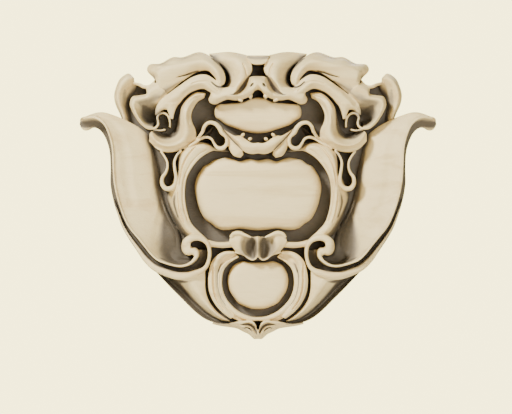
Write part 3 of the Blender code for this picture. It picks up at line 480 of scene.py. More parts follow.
# Ear: rings round its hole
add("ear ring", ridge([(88.4, 68, 26, 1.8), (88.4, 73, 29, 1.8), (89.3, 77.5, 31, 2), (92, 81, 32, 2),
                       (95.5, 82.3, 32, 2.2), (98.8, 81.2, 32, 2.2), (101, 78, 32, 2), (100.3, 74, 31, 2),
                       (100.3, 70.5, 31, 2), (103, 67.3, 31, 2), (107, 66.6, 32, 2), (111.5, 67.4, 33, 2),
                       (115.5, 70.6, 34, 2)], 26, 3))
add("ear line", ridge([(93, 65.6, 27, 1.8), (98, 64.6, 29, 1.8), (105, 65.2, 30, 1.8)], 5, 3))

# Leaf that scoops down from the crest to the ear
add("leaf", band([
    [(100, 113, 34), (106, 111, 32), (112, 107.5, 30), (111.8, 101.5, 31), (119, 99.8, 31), (126, 98.3, 31),
     (128.5, 91, 31), (125.7, 83, 31), (122.2, 77, 31), (118.2, 71.5, 31), (112, 66.8, 31), (105, 66.1, 31)],
    [(99, 109, 38), (104.5, 107, 38), (109, 104, 38), (111, 98.5, 38), (116, 97, 38), (122.5, 95.5, 39),
     (125, 90, 39), (122.8, 84, 38), (120, 78.5, 37), (116.5, 73.5, 36), (111.5, 69, 34), (105.5, 68, 32)],
    [(96, 106, 38), (99.5, 102, 37), (102.5, 98, 35), (105.5, 94.5, 33), (109, 92.5, 31), (113, 90, 28),
     (116, 86.5, 25), (116.3, 82, 21), (115, 78, 18), (112.8, 74.5, 17), (109.5, 72, 18), (105.5, 70.8, 20)],
    [(92, 103, 36), (93, 99, 35), (94, 96, 32), (96.5, 93, 29), (99.5, 90.5, 26), (103, 88, 22),
     (107, 84.5, 17), (108.5, 80.5, 12), (108, 77.5, 10), (107, 75.5, 9), (105.5, 74.5, 9), (104, 74, 9)],
    [(90, 100, 34), (91, 97, 32), (92, 94, 28), (94, 91, 24), (96, 88, 19), (98, 86, 15), (101, 83, 12),
     (103, 80, 9), (103, 78, 9), (103, 76, 9), (103, 75, 9), (103, 74, 9)]],
    [("smooth", 4, 10)], 22))
add("leaf tip", band([[(103.4, 115.8, 30), (108, 111, 31), (113, 109.9, 31), (118, 112, 30),
                       (125, 113.6, 26)],
                      [(104, 110, 32), (110, 107, 31), (115.5, 107.2, 30), (119.5, 109.3, 28),
                       (125, 111.4, 24)]], [("dome", 0.3, 3)], 10))

# Horns behind the crest
add("horn", band([
    [(136.5, 75, 15), (139.3, 82, 15), (143.4, 91, 16), (144.9, 100, 17), (142.8, 109, 18),
     (138.3, 117.6, 19), (130, 122.4, 20), (125.4, 118.6, 21)],
    [(134.5, 76, 21), (136.3, 83, 23), (139.5, 91.5, 25), (140.5, 100, 27), (138, 108.5, 28),
     (134.5, 114.5, 29), (129.5, 118, 28), (126, 117, 26)],
    [(128, 72, 10), (129, 80, 10), (130.5, 90, 10), (128, 99, 11), (124, 105, 12), (122.5, 109.5, 16),
     (124, 112.5, 20), (125.2, 115.5, 23)]], [("smooth", 2, 7)], 16, 0.1))


# Cutting tools: a section in half widths across and in widths up, carried along a path
toolValues = {
    "gouge": {"section": ((-2.6, 9), (-1, 2.2), (-0.62, 0.7), (0, 0), (0.62, 0.7), (1, 2.2),
                          (2.6, 9)), "deep": 0.5},
    "chisel": {"section": ((-3.2, 8), (-1, 1.6), (0, 0), (1, 1.6), (3.2, 8)), "deep": 0.6},
}


def cut(tool, rows, path):
    q = openLine(path, round(rows * fine))
    side = sideOf(q)
    wide = q[:, 3]
    columns = []
    for x, z in toolValues[tool]["section"]:
        c = q[:, :3].copy()
        c[:, :2] += side * (wide * x / 2)[:, None]
        c[:, 2] += z * wide * toolValues[tool]["deep"]
        columns.append(c)
    return tube(np.stack(columns, 1))


# Creases cut into the joined forms with a gouge, then finer slits with a chisel (name, tool, rows, path)
creases = [
    ("beside the nose", "gouge", 10, [(8.6, 119, 42, 2.4), (11, 114.6, 37, 4.4), (13.8, 109.8, 34, 5.8),
                                      (16.8, 105.4, 35, 5.8), (20.4, 101.8, 40, 4.2), (25, 99.6, 47, 1)]),
    ("under the lip", "gouge", 10, [(18, -129.3, 33, 0.8), (13.5, -129.8, 29, 2.4), (9, -129.8, 28, 3),
                                    (5.4, -131.8, 28, 3), (3, -135.3, 28, 2.6), (1.5, -139, 30, 0.8)]),
    ("nostril", "chisel", 5, [(7.4, 107.6, 50, 0.8), (6.3, 109.4, 49, 2.2), (4.8, 110.8, 50, 1.6)]),
    ("second slit", "chisel", 7, [(15, -133.2, 30, 0.6), (11, -133, 29, 1.4), (8.2, -134.2, 29, 1.6),
                                  (5.8, -136.6, 30, 0.7)]),
    ("under the hook", "chisel", 9, [(33, 110, 42, 1.2), (35.5, 108, 42, 2.4), (39, 107.8, 43, 2.2),
                                     (43, 109.6, 44, 1.6), (47.5, 113.4, 45, 0.6)]),
    ("jaw and finger", "chisel", 14, [(35.5, 66.6, 37, 0.8), (31, 60.8, 37, 1.4), (26, 55.2, 37, 1.6),
                                      (20.5, 49.8, 37, 1.6), (15.8, 45, 38, 0.8)]),
    ("strand", "chisel", 14, [(46, 46.5, 35, 0.7), (54, 44, 36, 1.4), (62, 37.5, 37, 1.5), (69, 28, 37, 1.5),
                              (74, 15, 37, 1.5), (75.4, 0, 37, 1.4), (73.8, -14, 37, 1.3),
                              (70, -26, 36, 0.7)]),
    ("strand", "chisel", 14, [(52, 51.5, 38, 0.6), (61, 49, 37, 1.3), (69, 41, 37, 1.5), (75, 30, 37, 1.5),
                              (77.5, 18, 37, 1.2), (78.5, 8, 39, 0.5)]),
    ("strand", "chisel", 14, [(66, 52, 33, 0.6), (73, 46.5, 33, 1.2), (78, 38, 32, 1.4), (80, 29, 31, 1.2),
                              (80.5, 22, 31, 0.6)]),
    ("strand", "chisel", 14, [(80.4, 4, 38, 0.6), (79.6, -6, 37, 1.3), (77.6, -18, 37, 1.3),
                              (74, -28, 37, 0.6)]),
    ("strand", "chisel", 14, [(46, -68, 31, 0.6), (45, -76, 30, 1.2), (45, -87, 30, 1.4),
                              (43.8, -97, 30, 1.4), (40, -107, 30, 1.2), (34, -115, 29, 0.6)]),
]

# Soft strokes pressed into the skin (depth in grid steps, the rise they fade out at, path with widths)
strokes = [
    (2.2, 30, [(44, 135, 3), (37, 130, 8), (31, 124, 11), (28.5, 117, 11), (30, 111, 9), (35, 106.5, 4)]),
    (1.3, 36, [(66, 111, 2), (58, 113, 3), (50, 112.3, 3.4), (44, 107.5, 3), (40, 104, 2)]),
    (1.6, 36, [(46, 112.5, 2), (41.5, 108, 3), (36, 105, 2.4)]),
    (1.8, 36, [(15, 131, 2), (12.6, 126, 3), (11.2, 119, 2.4)]),
    (1.6, 30, [(57, 99.5, 2), (66, 95.5, 4), (72, 87, 4.6), (74.5, 77, 4), (75, 70, 2)]),
    (1.2, 30, [(62, 92, 2), (66.5, 87, 3), (69, 79, 3), (69, 71, 2)]),
    (3, 14, [(97, -6, 6), (95, -22, 18), (93, -38, 32), (89, -51, 38), (83, -61, 26), (75, -64.5, 10)]),
    (1.2, 26, [(160, 79, 3), (146, 72, 10), (138, 58, 14), (133, 40, 14), (131, 15, 14), (126, -8, 12)]),
    (-7, 1, [(59, 57.5, 3), (53, 61, 6), (48, 65.5, 6), (46, 68.5, 3)]),
    (2.4, 20, [(98, 91, 8), (92, 99, 10), (84, 106.5, 8), (76, 112.5, 4)]),
    (1.4, 25, [(92, 130.5, 4), (80, 132.5, 7), (66, 136, 7), (57, 136.5, 4)]),
    (3, 30, [(81, 117.6, 1.2), (73, 119.8, 2.6), (65, 122.4, 3.2), (58, 124, 2)]),
    (1.2, 25, [(104, 118.5, 3), (104, 124, 5), (98, 127, 4)]),
    (1.6, 24, [(104, 49, 4), (94, 46.5, 5), (82, 47.5, 5), (72, 52, 4)]),
    (1.5, 24, [(30, -129.6, 1.6), (22, -129.4, 2.4), (15, -131, 2)]),
]


# Blender objects of the forms, from the grid to metres: out runs to -x, rise to -y and up to z
def newObject(name, verts, faces, home):
    v = np.array(verts, float)
    mesh = bpy.data.meshes.new(name)
    mesh.from_pydata(np.stack([-v[:, 0], -v[:, 2], v[:, 1]], 1) * unit, [], faces)
    bm = bmesh.new()
    bm.from_mesh(mesh)
    bmesh.ops.recalc_face_normals(bm, faces=bm.faces)
    bmesh.ops.triangulate(bm, faces=[f for f in bm.faces if len(f.verts) > 4])
    bm.to_mesh(mesh)
    bm.free()
    thing = bpy.data.objects.new(name, mesh)
    home.objects.link(thing)
    return thing


def newCollection(name):
    made = bpy.data.collections.new(name)
    bpy.context.scene.collection.children.link(made)
    return made


def evaluatedMesh(thing):
    return bpy.data.meshes.new_from_object(thing.evaluated_get(bpy.context.evaluated_depsgraph_get()))


# The forms are joined, the creases cut, and a fine skin is drawn over the half
skinValues = {
    "step": 0.0008,         # of the voxels
    "softness": 0.5,
    "rounds": 2,            # of softening
    "faces": 97000,         # left in the half
    "spare": -3,            # grid steps that the rough cut leaves past the wall and the axis
    "far": 260,             # grid steps, past every form
}
seamValues = {"merge": 0.00002, "snap": 0.00005, "inside": 0.00002}     # m; the last keeps it in the CAD box

forms = newCollection("forms")
gouges = newCollection("gouges")
boards = newCollection("boards")
for name, (verts, faces) in bodies:
    newObject(name, verts, faces, forms)
for name, tool, rows, path in creases:
    verts, faces = cut(tool, rows, path)
    newObject(name, verts, faces, gouges)


# A block that holds the half of the carving, from a plane beside the axis and one behind the wall
def board(name, edge):
    far = skinValues["far"]
    corners = [(edge, -far), (far, -far), (far, far), (edge, far)]
    verts, faces = tube(np.array([[(o, u, z) for o, u in corners] for z in (edge, far)], float))
    return newObject(name, verts, faces, boards)


# A boolean step with one object or with a whole collection
def boolean(thing, name, operation, operand):
    step = thing.modifiers.new(name, "BOOLEAN")
    step.operation = operation
    step.solver = "MANIFOLD"
    if isinstance(operand, bpy.types.Collection):
        step.operand_type = "COLLECTION"
        step.collection = operand
    else:
        step.object = operand


seed = forms.objects[0]
forms.objects.unlink(seed)
bpy.context.scene.collection.objects.link(seed)
boolean(seed, "join", "UNION", forms)
boolean(seed, "crease", "DIFFERENCE", gouges)
boolean(seed, "rough cut", "INTERSECT", board("rough board", skinValues["spare"]))
skin = seed.modifiers.new("skin", "REMESH")
skin.mode = "VOXEL"
skin.voxel_size = skinValues["step"]
soft = seed.modifiers.new("soften", "SMOOTH")
soft.factor = skinValues["softness"]
soft.iterations = skinValues["rounds"]
skinMesh = evaluatedMesh(seed)
print("skin", len(skinMesh.vertices), "points")


# A mesh's points and triangles as whole arrays
def readPoints(mesh):
    flat = np.empty(3 * len(mesh.vertices))
    mesh.vertices.foreach_get("co", flat)
    return flat.reshape(-1, 3)


def readFaces(mesh):
    flat = np.empty(3 * len(mesh.polygons), int)
    mesh.polygons.foreach_get("vertices", flat)
    return flat.reshape(-1, 3)


brushValues = {
    "samples": 48,          # along a stroke, and one more for each grid step of its length
    "batch": 20000,         # points weighed at once
    "thinnest": 0.01,       # half width that a stroke never falls below
    "fade": 3,              # grid steps in which a stroke fades out at its floor
    "ceilingFade": 5,       # and at its ceiling
    "load": 1.35,           # wax and painted shade on a brush, so that its middle is evenly full
}


# A share from 0 at the start to 1 a span past it
def ramp(value, start, span):
    return np.clip((value - start) / span, 0, 1)


# Weight of a brush: 1 on the line, falling to 0 at its half width as (1 - d^2)^2
def brush(out, up, path):
    length = np.linalg.norm(np.diff(np.array(path, float)[:, :2], axis=0), axis=1).sum()
    q = openLine([(o, u, 0, w) for o, u, w in path], brushValues["samples"] + round(length))
    weight = np.zeros(len(out))
    reach = q[:, 3].max()
    near = np.flatnonzero((out > q[:, 0].min() - reach) & (out < q[:, 0].max() + reach)
                          & (up > q[:, 1].min() - reach) & (up < q[:, 1].max() + reach))
    halfWidth = q[:, 3] / 2 + brushValues["thinnest"]
    for part in np.array_split(near, max(1, len(near) // brushValues["batch"])):
        away = np.hypot(out[part][:, None] - q[:, 0], up[part][:, None] - q[:, 1]) / halfWidth
        weight[part] = (1 - np.clip(away.min(1), 0, 1) ** 2) ** 2
    return weight


points = readPoints(skinMesh)
for depth, floor, path in strokes:
    rise = -points[:, 1] / unit
    weight = brush(-points[:, 0] / unit, points[:, 2] / unit, path)
    points[:, 1] += weight * depth * unit * ramp(rise, floor, brushValues["fade"])
skinMesh.vertices.foreach_set("co", points.ravel())
print("strokes", len(strokes))

# Thinned where it is flat, cut at the wall and at the axis, and mirrored: the other half has the same
# points with x turned over, and its faces run the other way round so that they point outwards too
block = bpy.data.objects.new("block", skinMesh)
bpy.context.scene.collection.objects.link(block)
thin = block.modifiers.new("thin", "DECIMATE")
thin.ratio = skinValues["faces"] / (2 * len(skinMesh.polygons))
boolean(block, "last cut", "INTERSECT", board("last board", 0))
halfMesh = evaluatedMesh(block)
bm = bmesh.new()
bm.from_mesh(halfMesh)
bmesh.ops.remove_doubles(bm, verts=bm.verts, dist=seamValues["merge"])
bmesh.ops.triangulate(bm, faces=bm.faces)
bm.to_mesh(halfMesh)
bm.free()
points = readPoints(halfMesh)
points[np.abs(points[:, 0]) < seamValues["snap"], 0] = 0
faces = readFaces(halfMesh)
faces = faces[(points[faces, 0] != 0).any(1)]        # the cut face goes, both halves share its rim
other = np.arange(len(points)) + len(points)
other[points[:, 0] == 0] -= len(points)
faces = np.vstack([faces, other[faces][:, ::-1]])
points = np.vstack([points, points * (-1, 1, 1)])
used, faces = np.unique(faces, return_inverse=True)
boxLow = np.array(cadBox[0]) + seamValues["inside"]
boxHigh = np.array(cadBox[1]) - seamValues["inside"]
points = np.clip(points[used], boxLow, boxHigh)
carvingMesh = bpy.data.meshes.new("carving")
carvingMesh.from_pydata(points, [], faces.reshape(-1, 3))
bm = bmesh.new()
bm.from_mesh(carvingMesh)
bmesh.ops.recalc_face_normals(bm, faces=bm.faces)
bm.to_mesh(carvingMesh)
bm.free()
for thing in list(forms.objects) + list(gouges.objects) + list(boards.objects) + [seed, block]:
    bpy.data.objects.remove(thing)
for home in (forms, gouges, boards):
    bpy.data.collections.remove(home)
carvingMesh.shade_smooth()
carvingMesh.set_sharp_from_angle(angle=math.radians(carvingValues["crease"]))
carving = bpy.data.objects.new("carving", carvingMesh)
bpy.context.scene.collection.objects.link(carving)
print("carving", len(points), "points", len(carvingMesh.polygons), "faces")


# Patina and painted shade: hollows hold the dark wax and painted shade, crests are rubbed smoother
patinaAndShadeValues = {
    "cell": 0.0015,         # of the height map
    "near": 4.0,            # grid steps over which the relief is smoothed for the first mask
    "wide": 11.0,           # and for the second
    "margin": 30,           # cells round the map
    "behind": -0.001,       # m; faces wholly behind this are the back, and are left out
    "large": 3,             # cells; a longer face is sampled more densely
    "steps": (3, 20),       # samples along a small and a large face
    "closings": 6,          # rounds that fill cells without a sample
    "neighbours": 4,        # filled ones, itself among the nine, that a cell needs more than
    "leastShare": 0.15,     # of the map that counts as covered, beside its edge
    "sides": 120,           # of a tablet's outline
    "nearFull": 9, "nearShare": 0.45,       # wax and painted shade by depth below the near mean
    "wideFrom": 2, "wideFull": 13, "wideShare": 0.75,
    "inlandFrom": 0.5, "inlandFull": 0.3,   # none on the outer sides
    "backFull": 1.5,                        # none on the flat back
    "tabletDip": 0.5, "tabletFull": 2,      # nor on the tablets
    "crestFull": 5,
}


# Depth below the smoothed relief, near and wide, and how far inland a point lies. The relief is a height map
# of the highest samples of the faces; it is smoothed by a Gauss curve, and by the share of it that is covered
def reliefMasks(mesh, points):
    v = patinaAndShadeValues
    cell = v["cell"]
    corners = points[readFaces(mesh)]
    corners = corners[corners[:, :, 1].min(1) < v["behind"]]
    longest = np.linalg.norm(corners - np.roll(corners, 1, 1), axis=2).max(1) / cell
    large = longest >= v["large"]
    cloud = []
    for part, steps in zip((corners[~large], corners[large]), v["steps"]):
        grid = [(i, j, steps - i - j) for i in range(steps + 1) for j in range(steps + 1 - i)]
        share = np.array(grid) / steps
        cloud.append(np.einsum("wk,nkc->nwc", share, part).reshape(-1, 3))
    cloud = np.concatenate(cloud)
    low = points.min(0) - v["margin"] * cell
    size = np.ceil((points.max(0) + v["margin"] * cell - low) / cell).astype(int) + 1
    field = np.zeros((size[0], size[2]))
    spot = ((cloud - low) / cell).round().astype(int)
    np.maximum.at(field, (spot[:, 0], spot[:, 2]), -cloud[:, 1])
    for _ in range(v["closings"]):
        around = np.stack([np.roll(field, (i, j), (0, 1)) for i in (-1, 0, 1) for j in (-1, 0, 1)])
        held = (around > 0).sum(0) > v["neighbours"]
        field = np.where(field == 0, around.max(0) * held, field)
    covered = (field > 0).astype(float)
    fx = np.fft.fftfreq(field.shape[0])[:, None]
    fy = np.fft.fftfreq(field.shape[1])[None, :]
    at = ((points - low) / cell).round().astype(int)
    i = at[:, 0]
    j = at[:, 2]
    depths = []
    shares = []
    for spread in (v["near"], v["wide"]):
        sigma = spread * unit / cell
        bell = np.exp(-2 * (math.pi * sigma) ** 2 * (fx ** 2 + fy ** 2))
        soft = np.fft.ifft2(np.fft.fft2(field) * bell).real
        share = np.fft.ifft2(np.fft.fft2(covered) * bell).real
        mean = soft / np.maximum(share, v["leastShare"])
        depths.append((mean[i, j] + points[:, 1]) / unit)
        shares.append(share[i, j])
    return depths[0], depths[1], shares[0]


# Painted shade laid as dark wax along the hollows, the undersides and the slopes turned from the light:
# strength, highest rise it reaches, and the strokes
paintedShadeStrokes = [
    (0.95, 39, [(180, 71, 9), (171, 71.5, 12), (163, 71.5, 11), (156, 65, 10), (151.4, 55, 7), (148.6, 44, 6),
                (147.6, 28, 6), (147.2, 11, 6.5), (143.4, -8, 7), (137, -27, 8), (128.5, -42, 9),
                (118.5, -55, 9), (106, -67.5, 9), (97, -72.3, 9), (88, -74.4, 9), (78, -75.2, 9),
                (66, -73.5, 9), (56.5, -68, 9), (53.6, -60, 8), (55, -52.5, 8), (60.5, -49, 7),
                (66, -49.5, 6)]),
    (0.7, 35, [(38, -70, 0.8), (40.4, -79, 1.7), (40.6, -87, 1.8), (39.5, -95, 1.8), (37, -103.5, 1.7),
               (32, -111, 1)]),
    (0.95, 37, [(91, -10, 8), (89, -24, 22), (86, -37, 38), (83, -49, 50), (81, -58, 50), (73, -65, 20),
                (65, -65.5, 5)]),
    (0.6, 40, [(27, -62, 0.8), (33, -65, 2.4), (37.6, -71, 2.6), (39.4, -78, 1.6)]),
    (0.8, 43, [(99, -62.5, 0.8), (94, -64.6, 3), (88, -66.6, 5.4), (81, -69, 6), (72, -68.7, 5),
               (66.5, -66, 4)]),
    (0.7, 30, [(107, 52, 8), (103, 36, 14), (99.5, 15, 18), (95, -8, 20), (89, -24, 20), (82, -38, 16)]),
    (0.85, 34, [(114, 88, 8), (110, 81, 24), (106, 75, 20)]),
    (0.5, 38, [(118, 92, 6), (110, 88, 26), (102, 84, 24)]),
    (0.5, 40, [(122, 93, 5), (112, 94, 14), (103, 98, 14), (94, 104, 12), (85, 110, 8), (76, 114.5, 3)]),
    (0.75, 36, [(104, 63.5, 6), (94, 60, 14), (85, 63, 14), (80, 74, 10), (79, 86, 7)]),
    (0.95, 31, [(99, -79.5, 6), (86, -90.5, 13), (75, -101.5, 14), (63, -113, 13), (51, -122.5, 10),
                (39, -127.4, 6), (28, -128.6, 3)]),
    (0.75, 46, [(6, -44.5, 8), (6.5, -50, 22), (6.5, -56, 20), (5, -61.5, 8)]),
    (0.42, 60, [(9, -43.5, 6), (12, -50, 24), (11.5, -56, 22), (7, -61.5, 8)]),
    (0.85, 34, [(93, -83.5, 5), (83, -89.5, 13), (77, -96, 12), (70, -104, 9)]),
    (0.45, 40, [(134, 106, 3), (134, 97, 9), (132.5, 88, 10), (130, 79, 7)]),
    (0.8, 45, [(79, 118.3, 1.4), (72.5, 119.8, 2.4), (66, 122.4, 2.6), (60, 124, 2)]),
    (0.75, 44, [(46, 136.5, 2), (38, 130.5, 6), (31.5, 124, 9), (29.5, 117, 9), (31, 111, 8),
                (36, 107.5, 3)]),
    (0.85, 34, [(103, -78, 3), (92, -83.5, 5), (82, -86.4, 6), (72, -86.8, 4), (62, -83, 1)]),
    (0.5, 45, [(9.5, 138, 6), (4, 137, 7.5), (-4, 137, 7.5)]),
    (0.8, 52, [(26, 99.6, 1.5), (20.5, 102.4, 5), (17, 105.6, 7), (13.8, 110, 6.5), (11, 114.8, 5),
               (8.8, 118.6, 3)]),
    (0.9, 60, [(7.6, 107.8, 1.2), (6.2, 109.6, 2.8), (4.8, 110.8, 2)]),
    (0.9, 45, [(17.5, -129.8, 1.5), (10, -129.6, 3.4), (5.2, -132, 3.4), (2.8, -135.4, 3), (1.2, -139, 1.4)]),
    (0.9, 45, [(15, -133.4, 1), (10.8, -133.2, 2), (7.9, -134.5, 2.2), (5.8, -136.6, 1.2)]),
    (0.8, 50, [(32.5, 111, 3), (35.5, 108, 4), (39.5, 107.8, 3), (43.5, 110, 2.4), (47.5, 113.4, 1.2)]),
    (0.8, 45, [(35.5, 66.6, 1.2), (31, 60.8, 2), (26, 55.2, 2.2), (20.5, 49.8, 2.2), (15.8, 45, 1.2)]),
    (0.75, 39, [(79, 44, 3), (81, 34, 6), (81, 20, 6), (80, 6, 6), (84, -6, 4), (80, -22, 4)]),
    (0.7, 38, [(62, 53.5, 2), (54, 54, 5), (47, 51.5, 7), (41, 47.5, 8), (34, 46, 7)]),
    (0.5, 38, [(58, 60, 4), (64, 60, 8), (70, 57, 5), (76, 52, 2)]),
]

# Painted shade taken off again where the bead rises out of the gutter: strength, lowest rise, and the strokes
shadeClearStrokes = [
    (0.9, 18, [(143, -12, 1), (140, -20, 1.8), (135.2, -32, 2.6), (128.4, -43, 3.4), (120.2, -54.2, 4.6),
               (112.5, -64.2, 6), (103, -72.6, 7.2), (91, -77.8, 8)]),
]


# Inside an outline: a line outwards from the point crosses an odd number of its sides
def inside(out, up, outline):
    loop = closedLine(bilateral(outline), patinaAndShadeValues["sides"])[:, :2]
    hit = np.zeros(len(out), bool)
    for (ao, au), (bo, bu) in zip(loop, np.roll(loop, -1, 0)):
        hit ^= ((au > up) != (bu > up)) & (out < (bo - ao) * (up - au) / (bu - au + tiny) + ao)
    return hit


near, wide, inland = reliefMasks(carvingMesh, points)
out = np.abs(points[:, 0]) / unit
up = points[:, 2] / unit
rise = -points[:, 1] / unit
v = patinaAndShadeValues
# Wax and painted shade: the deeper a point lies below the smoothed relief, the darker, as shade falls in the
# recesses
hollow = ramp(near, 0, v["nearFull"]) * v["nearShare"]
hollow += ramp(wide, v["wideFrom"], v["wideFull"]) * v["wideShare"]
hollow *= ramp(inland, v["inlandFrom"], v["inlandFull"])
# Strokes of painted shade over the relief mask, then the painted shade taken off the bead again
for strength, ceiling, path in paintedShadeStrokes:
    laid = np.minimum(1, brushValues["load"] * brush(out, up, path))
    hollow = np.maximum(hollow, strength * (laid * ramp(ceiling - rise, 0, brushValues["ceilingFade"])))
for strength, floor, path in shadeClearStrokes:
    rubbed = strength * np.minimum(1, brushValues["load"] * brush(out, up, path))
    hollow *= 1 - rubbed * ramp(rise, floor, brushValues["fade"])
hollow *= ramp(rise, 0, v["backFull"])
for outline, top in ((mainEdge, tabletTop), (smallOutline, smallTop), (upperOutline, upperTop)):
    flat = inside(out, up, outline)
    hollow[flat] *= ramp(top - v["tabletDip"] - rise[flat], 0, v["tabletFull"])
crest = ramp(-near, 0, v["crestFull"])
# The hollow mask carries the wax and the painted shade, the crest mask the rubbed smoothness
for label, values in (("hollow", np.clip(hollow, 0, 1)), ("crest", crest)):
    layer = carvingMesh.attributes.new(label, "FLOAT", "POINT")
    layer.data.foreach_set("value", values.astype(np.float32))
print("masks", round(float(hollow.mean()), 3), round(float(crest.mean()), 3))


# A node with its place and its named values, of its own or of its sockets
def addNode(tree, kind, at, **values):
    node = tree.nodes.new(kind)
    node.location = at
    for key, value in values.items():
        if hasattr(node, key):
            setattr(node, key, value)
        else:
            node.inputs[key].default_value = value
    return node


# A node group with its inputs (name, kind, value) and outputs (name, kind)
def groupOf(name, ins, outs):
    tree = bpy.data.node_groups.new(name, "ShaderNodeTree")
    for label, kind, value in ins:
        socket = tree.interface.new_socket(label, in_out="INPUT", socket_type=kind)
        socket.default_value = value
    for label, kind in outs:
        tree.interface.new_socket(label, in_out="OUTPUT", socket_type=kind)
    return tree, addNode(tree, "NodeGroupInput", (-900, 0)), addNode(tree, "NodeGroupOutput", (900, 0))


woodValues = {
    "pale": (0.83, 0.66, 0.325, 1),         # scraped limewood
    "warm": (0.68, 0.495, 0.215, 1),        # its darker years
    "waxAndShade": (0.118, 0.095, 0.062, 1),        # old wax and dirt at the bottom of the hollows, with painted shade
    "shade": (0.34, 0.275, 0.18, 1),        # thin patina on the way down
    "sawn": (0.47, 0.36, 0.20, 1),          # thin wax and painted shade on the way down, and the dark of the pores
    "streaks": 34, "pores": 420,            # scales of the grain
    "alongGrain": (0.10, 1.0, 1.0),         # the grain runs across the carving
    "years": (0.42, 0.68, 0.75),            # from, to and most of each shade
    "fibre": (0.60, 0.78, 0.16),
    "sawnFrom": -0.0012, "sawnTo": -0.0004, "sawnMost": 0.6,
    "breakup": 0.18, "breakupScale": 55.0,
    "thin": (0.10, 0.62), "deep": (0.34, 0.86),     # of the hollow mask
    "roughness": 0.56, "rubbed": -0.16,
    "specular": 0.35,
    "toolScale": 95.0, "toolSoftness": 0.35, "toolHeight": 0.9, "alongTool": (0.55, 1.0, 1.0),
    "sawScale": 95.0,
    "bump": 0.75, "bumpDistance": 0.0009,
}


# Grain: long streaks along the board with fine pores, as a share from 0 to 1
grainTree, gIn, gOut = groupOf("woodGrain",
                               [("Streaks", "NodeSocketFloat", 30.0), ("Pores", "NodeSocketFloat", 260.0)],
                               [("Years", "NodeSocketFloat"), ("Fibre", "NodeSocketFloat")])
gCoord = addNode(grainTree, "ShaderNodeTexCoord", (-900, 300))
gStretch = addNode(grainTree, "ShaderNodeMapping", (-700, 300))
gStretch.inputs["Scale"].default_value = woodValues["alongGrain"]
grainTree.links.new(gCoord.outputs["Object"], gStretch.inputs["Vector"])
years = addNode(grainTree, "ShaderNodeTexNoise", (-450, 300), Detail=6.0, Roughness=0.6, Distortion=0.6)
grainTree.links.new(gStretch.outputs["Vector"], years.inputs["Vector"])
grainTree.links.new(gIn.outputs["Streaks"], years.inputs["Scale"])
pores = addNode(grainTree, "ShaderNodeTexNoise", (-450, 0), Detail=3.0, Roughness=0.7)
grainTree.links.new(gStretch.outputs["Vector"], pores.inputs["Vector"])
grainTree.links.new(gIn.outputs["Pores"], pores.inputs["Scale"])
grainTree.links.new(years.outputs["Fac"], gOut.inputs["Years"])
grainTree.links.new(pores.outputs["Fac"], gOut.inputs["Fibre"])

# Patina and painted shade: the hollow mask broken up by noise, and how rubbed the crests are
patinaAndShadeTree, pIn, pOut = groupOf("patinaAndShade",
                                [("Hollow", "NodeSocketFloat", 0.0), ("Crest", "NodeSocketFloat", 0.0),
                                 ("Breakup", "NodeSocketFloat", woodValues["breakup"])],
                                [("Thin", "NodeSocketFloat"), ("Deep", "NodeSocketFloat"),
                                 ("Rubbed", "NodeSocketFloat")])
pCoord = addNode(patinaAndShadeTree, "ShaderNodeTexCoord", (-900, 300))
pNoise = addNode(patinaAndShadeTree, "ShaderNodeTexNoise", (-700, 300), Detail=5.0, Roughness=0.62,
                 Scale=woodValues["breakupScale"])
patinaAndShadeTree.links.new(pCoord.outputs["Object"], pNoise.inputs["Vector"])
centred = addNode(patinaAndShadeTree, "ShaderNodeMath", (-500, 300), operation="SUBTRACT")
centred.inputs[1].default_value = 0.5
patinaAndShadeTree.links.new(pNoise.outputs["Fac"], centred.inputs[0])
scaled = addNode(patinaAndShadeTree, "ShaderNodeMath", (-300, 300), operation="MULTIPLY")
patinaAndShadeTree.links.new(centred.outputs[0], scaled.inputs[0])
patinaAndShadeTree.links.new(pIn.outputs["Breakup"], scaled.inputs[1])
rough = addNode(patinaAndShadeTree, "ShaderNodeMath", (-100, 300), operation="ADD")
patinaAndShadeTree.links.new(scaled.outputs[0], rough.inputs[0])
patinaAndShadeTree.links.new(pIn.outputs["Hollow"], rough.inputs[1])
for label, (low, high), at in (("Thin", woodValues["thin"], 200), ("Deep", woodValues["deep"], -50)):
    step = addNode(patinaAndShadeTree, "ShaderNodeMapRange", (200, at), interpolation_type="SMOOTHSTEP")
    step.inputs["From Min"].default_value = low
    step.inputs["From Max"].default_value = high
    patinaAndShadeTree.links.new(rough.outputs[0], step.inputs["Value"])
    patinaAndShadeTree.links.new(step.outputs["Result"], pOut.inputs[label])
patinaAndShadeTree.links.new(pIn.outputs["Crest"], pOut.inputs["Rubbed"])
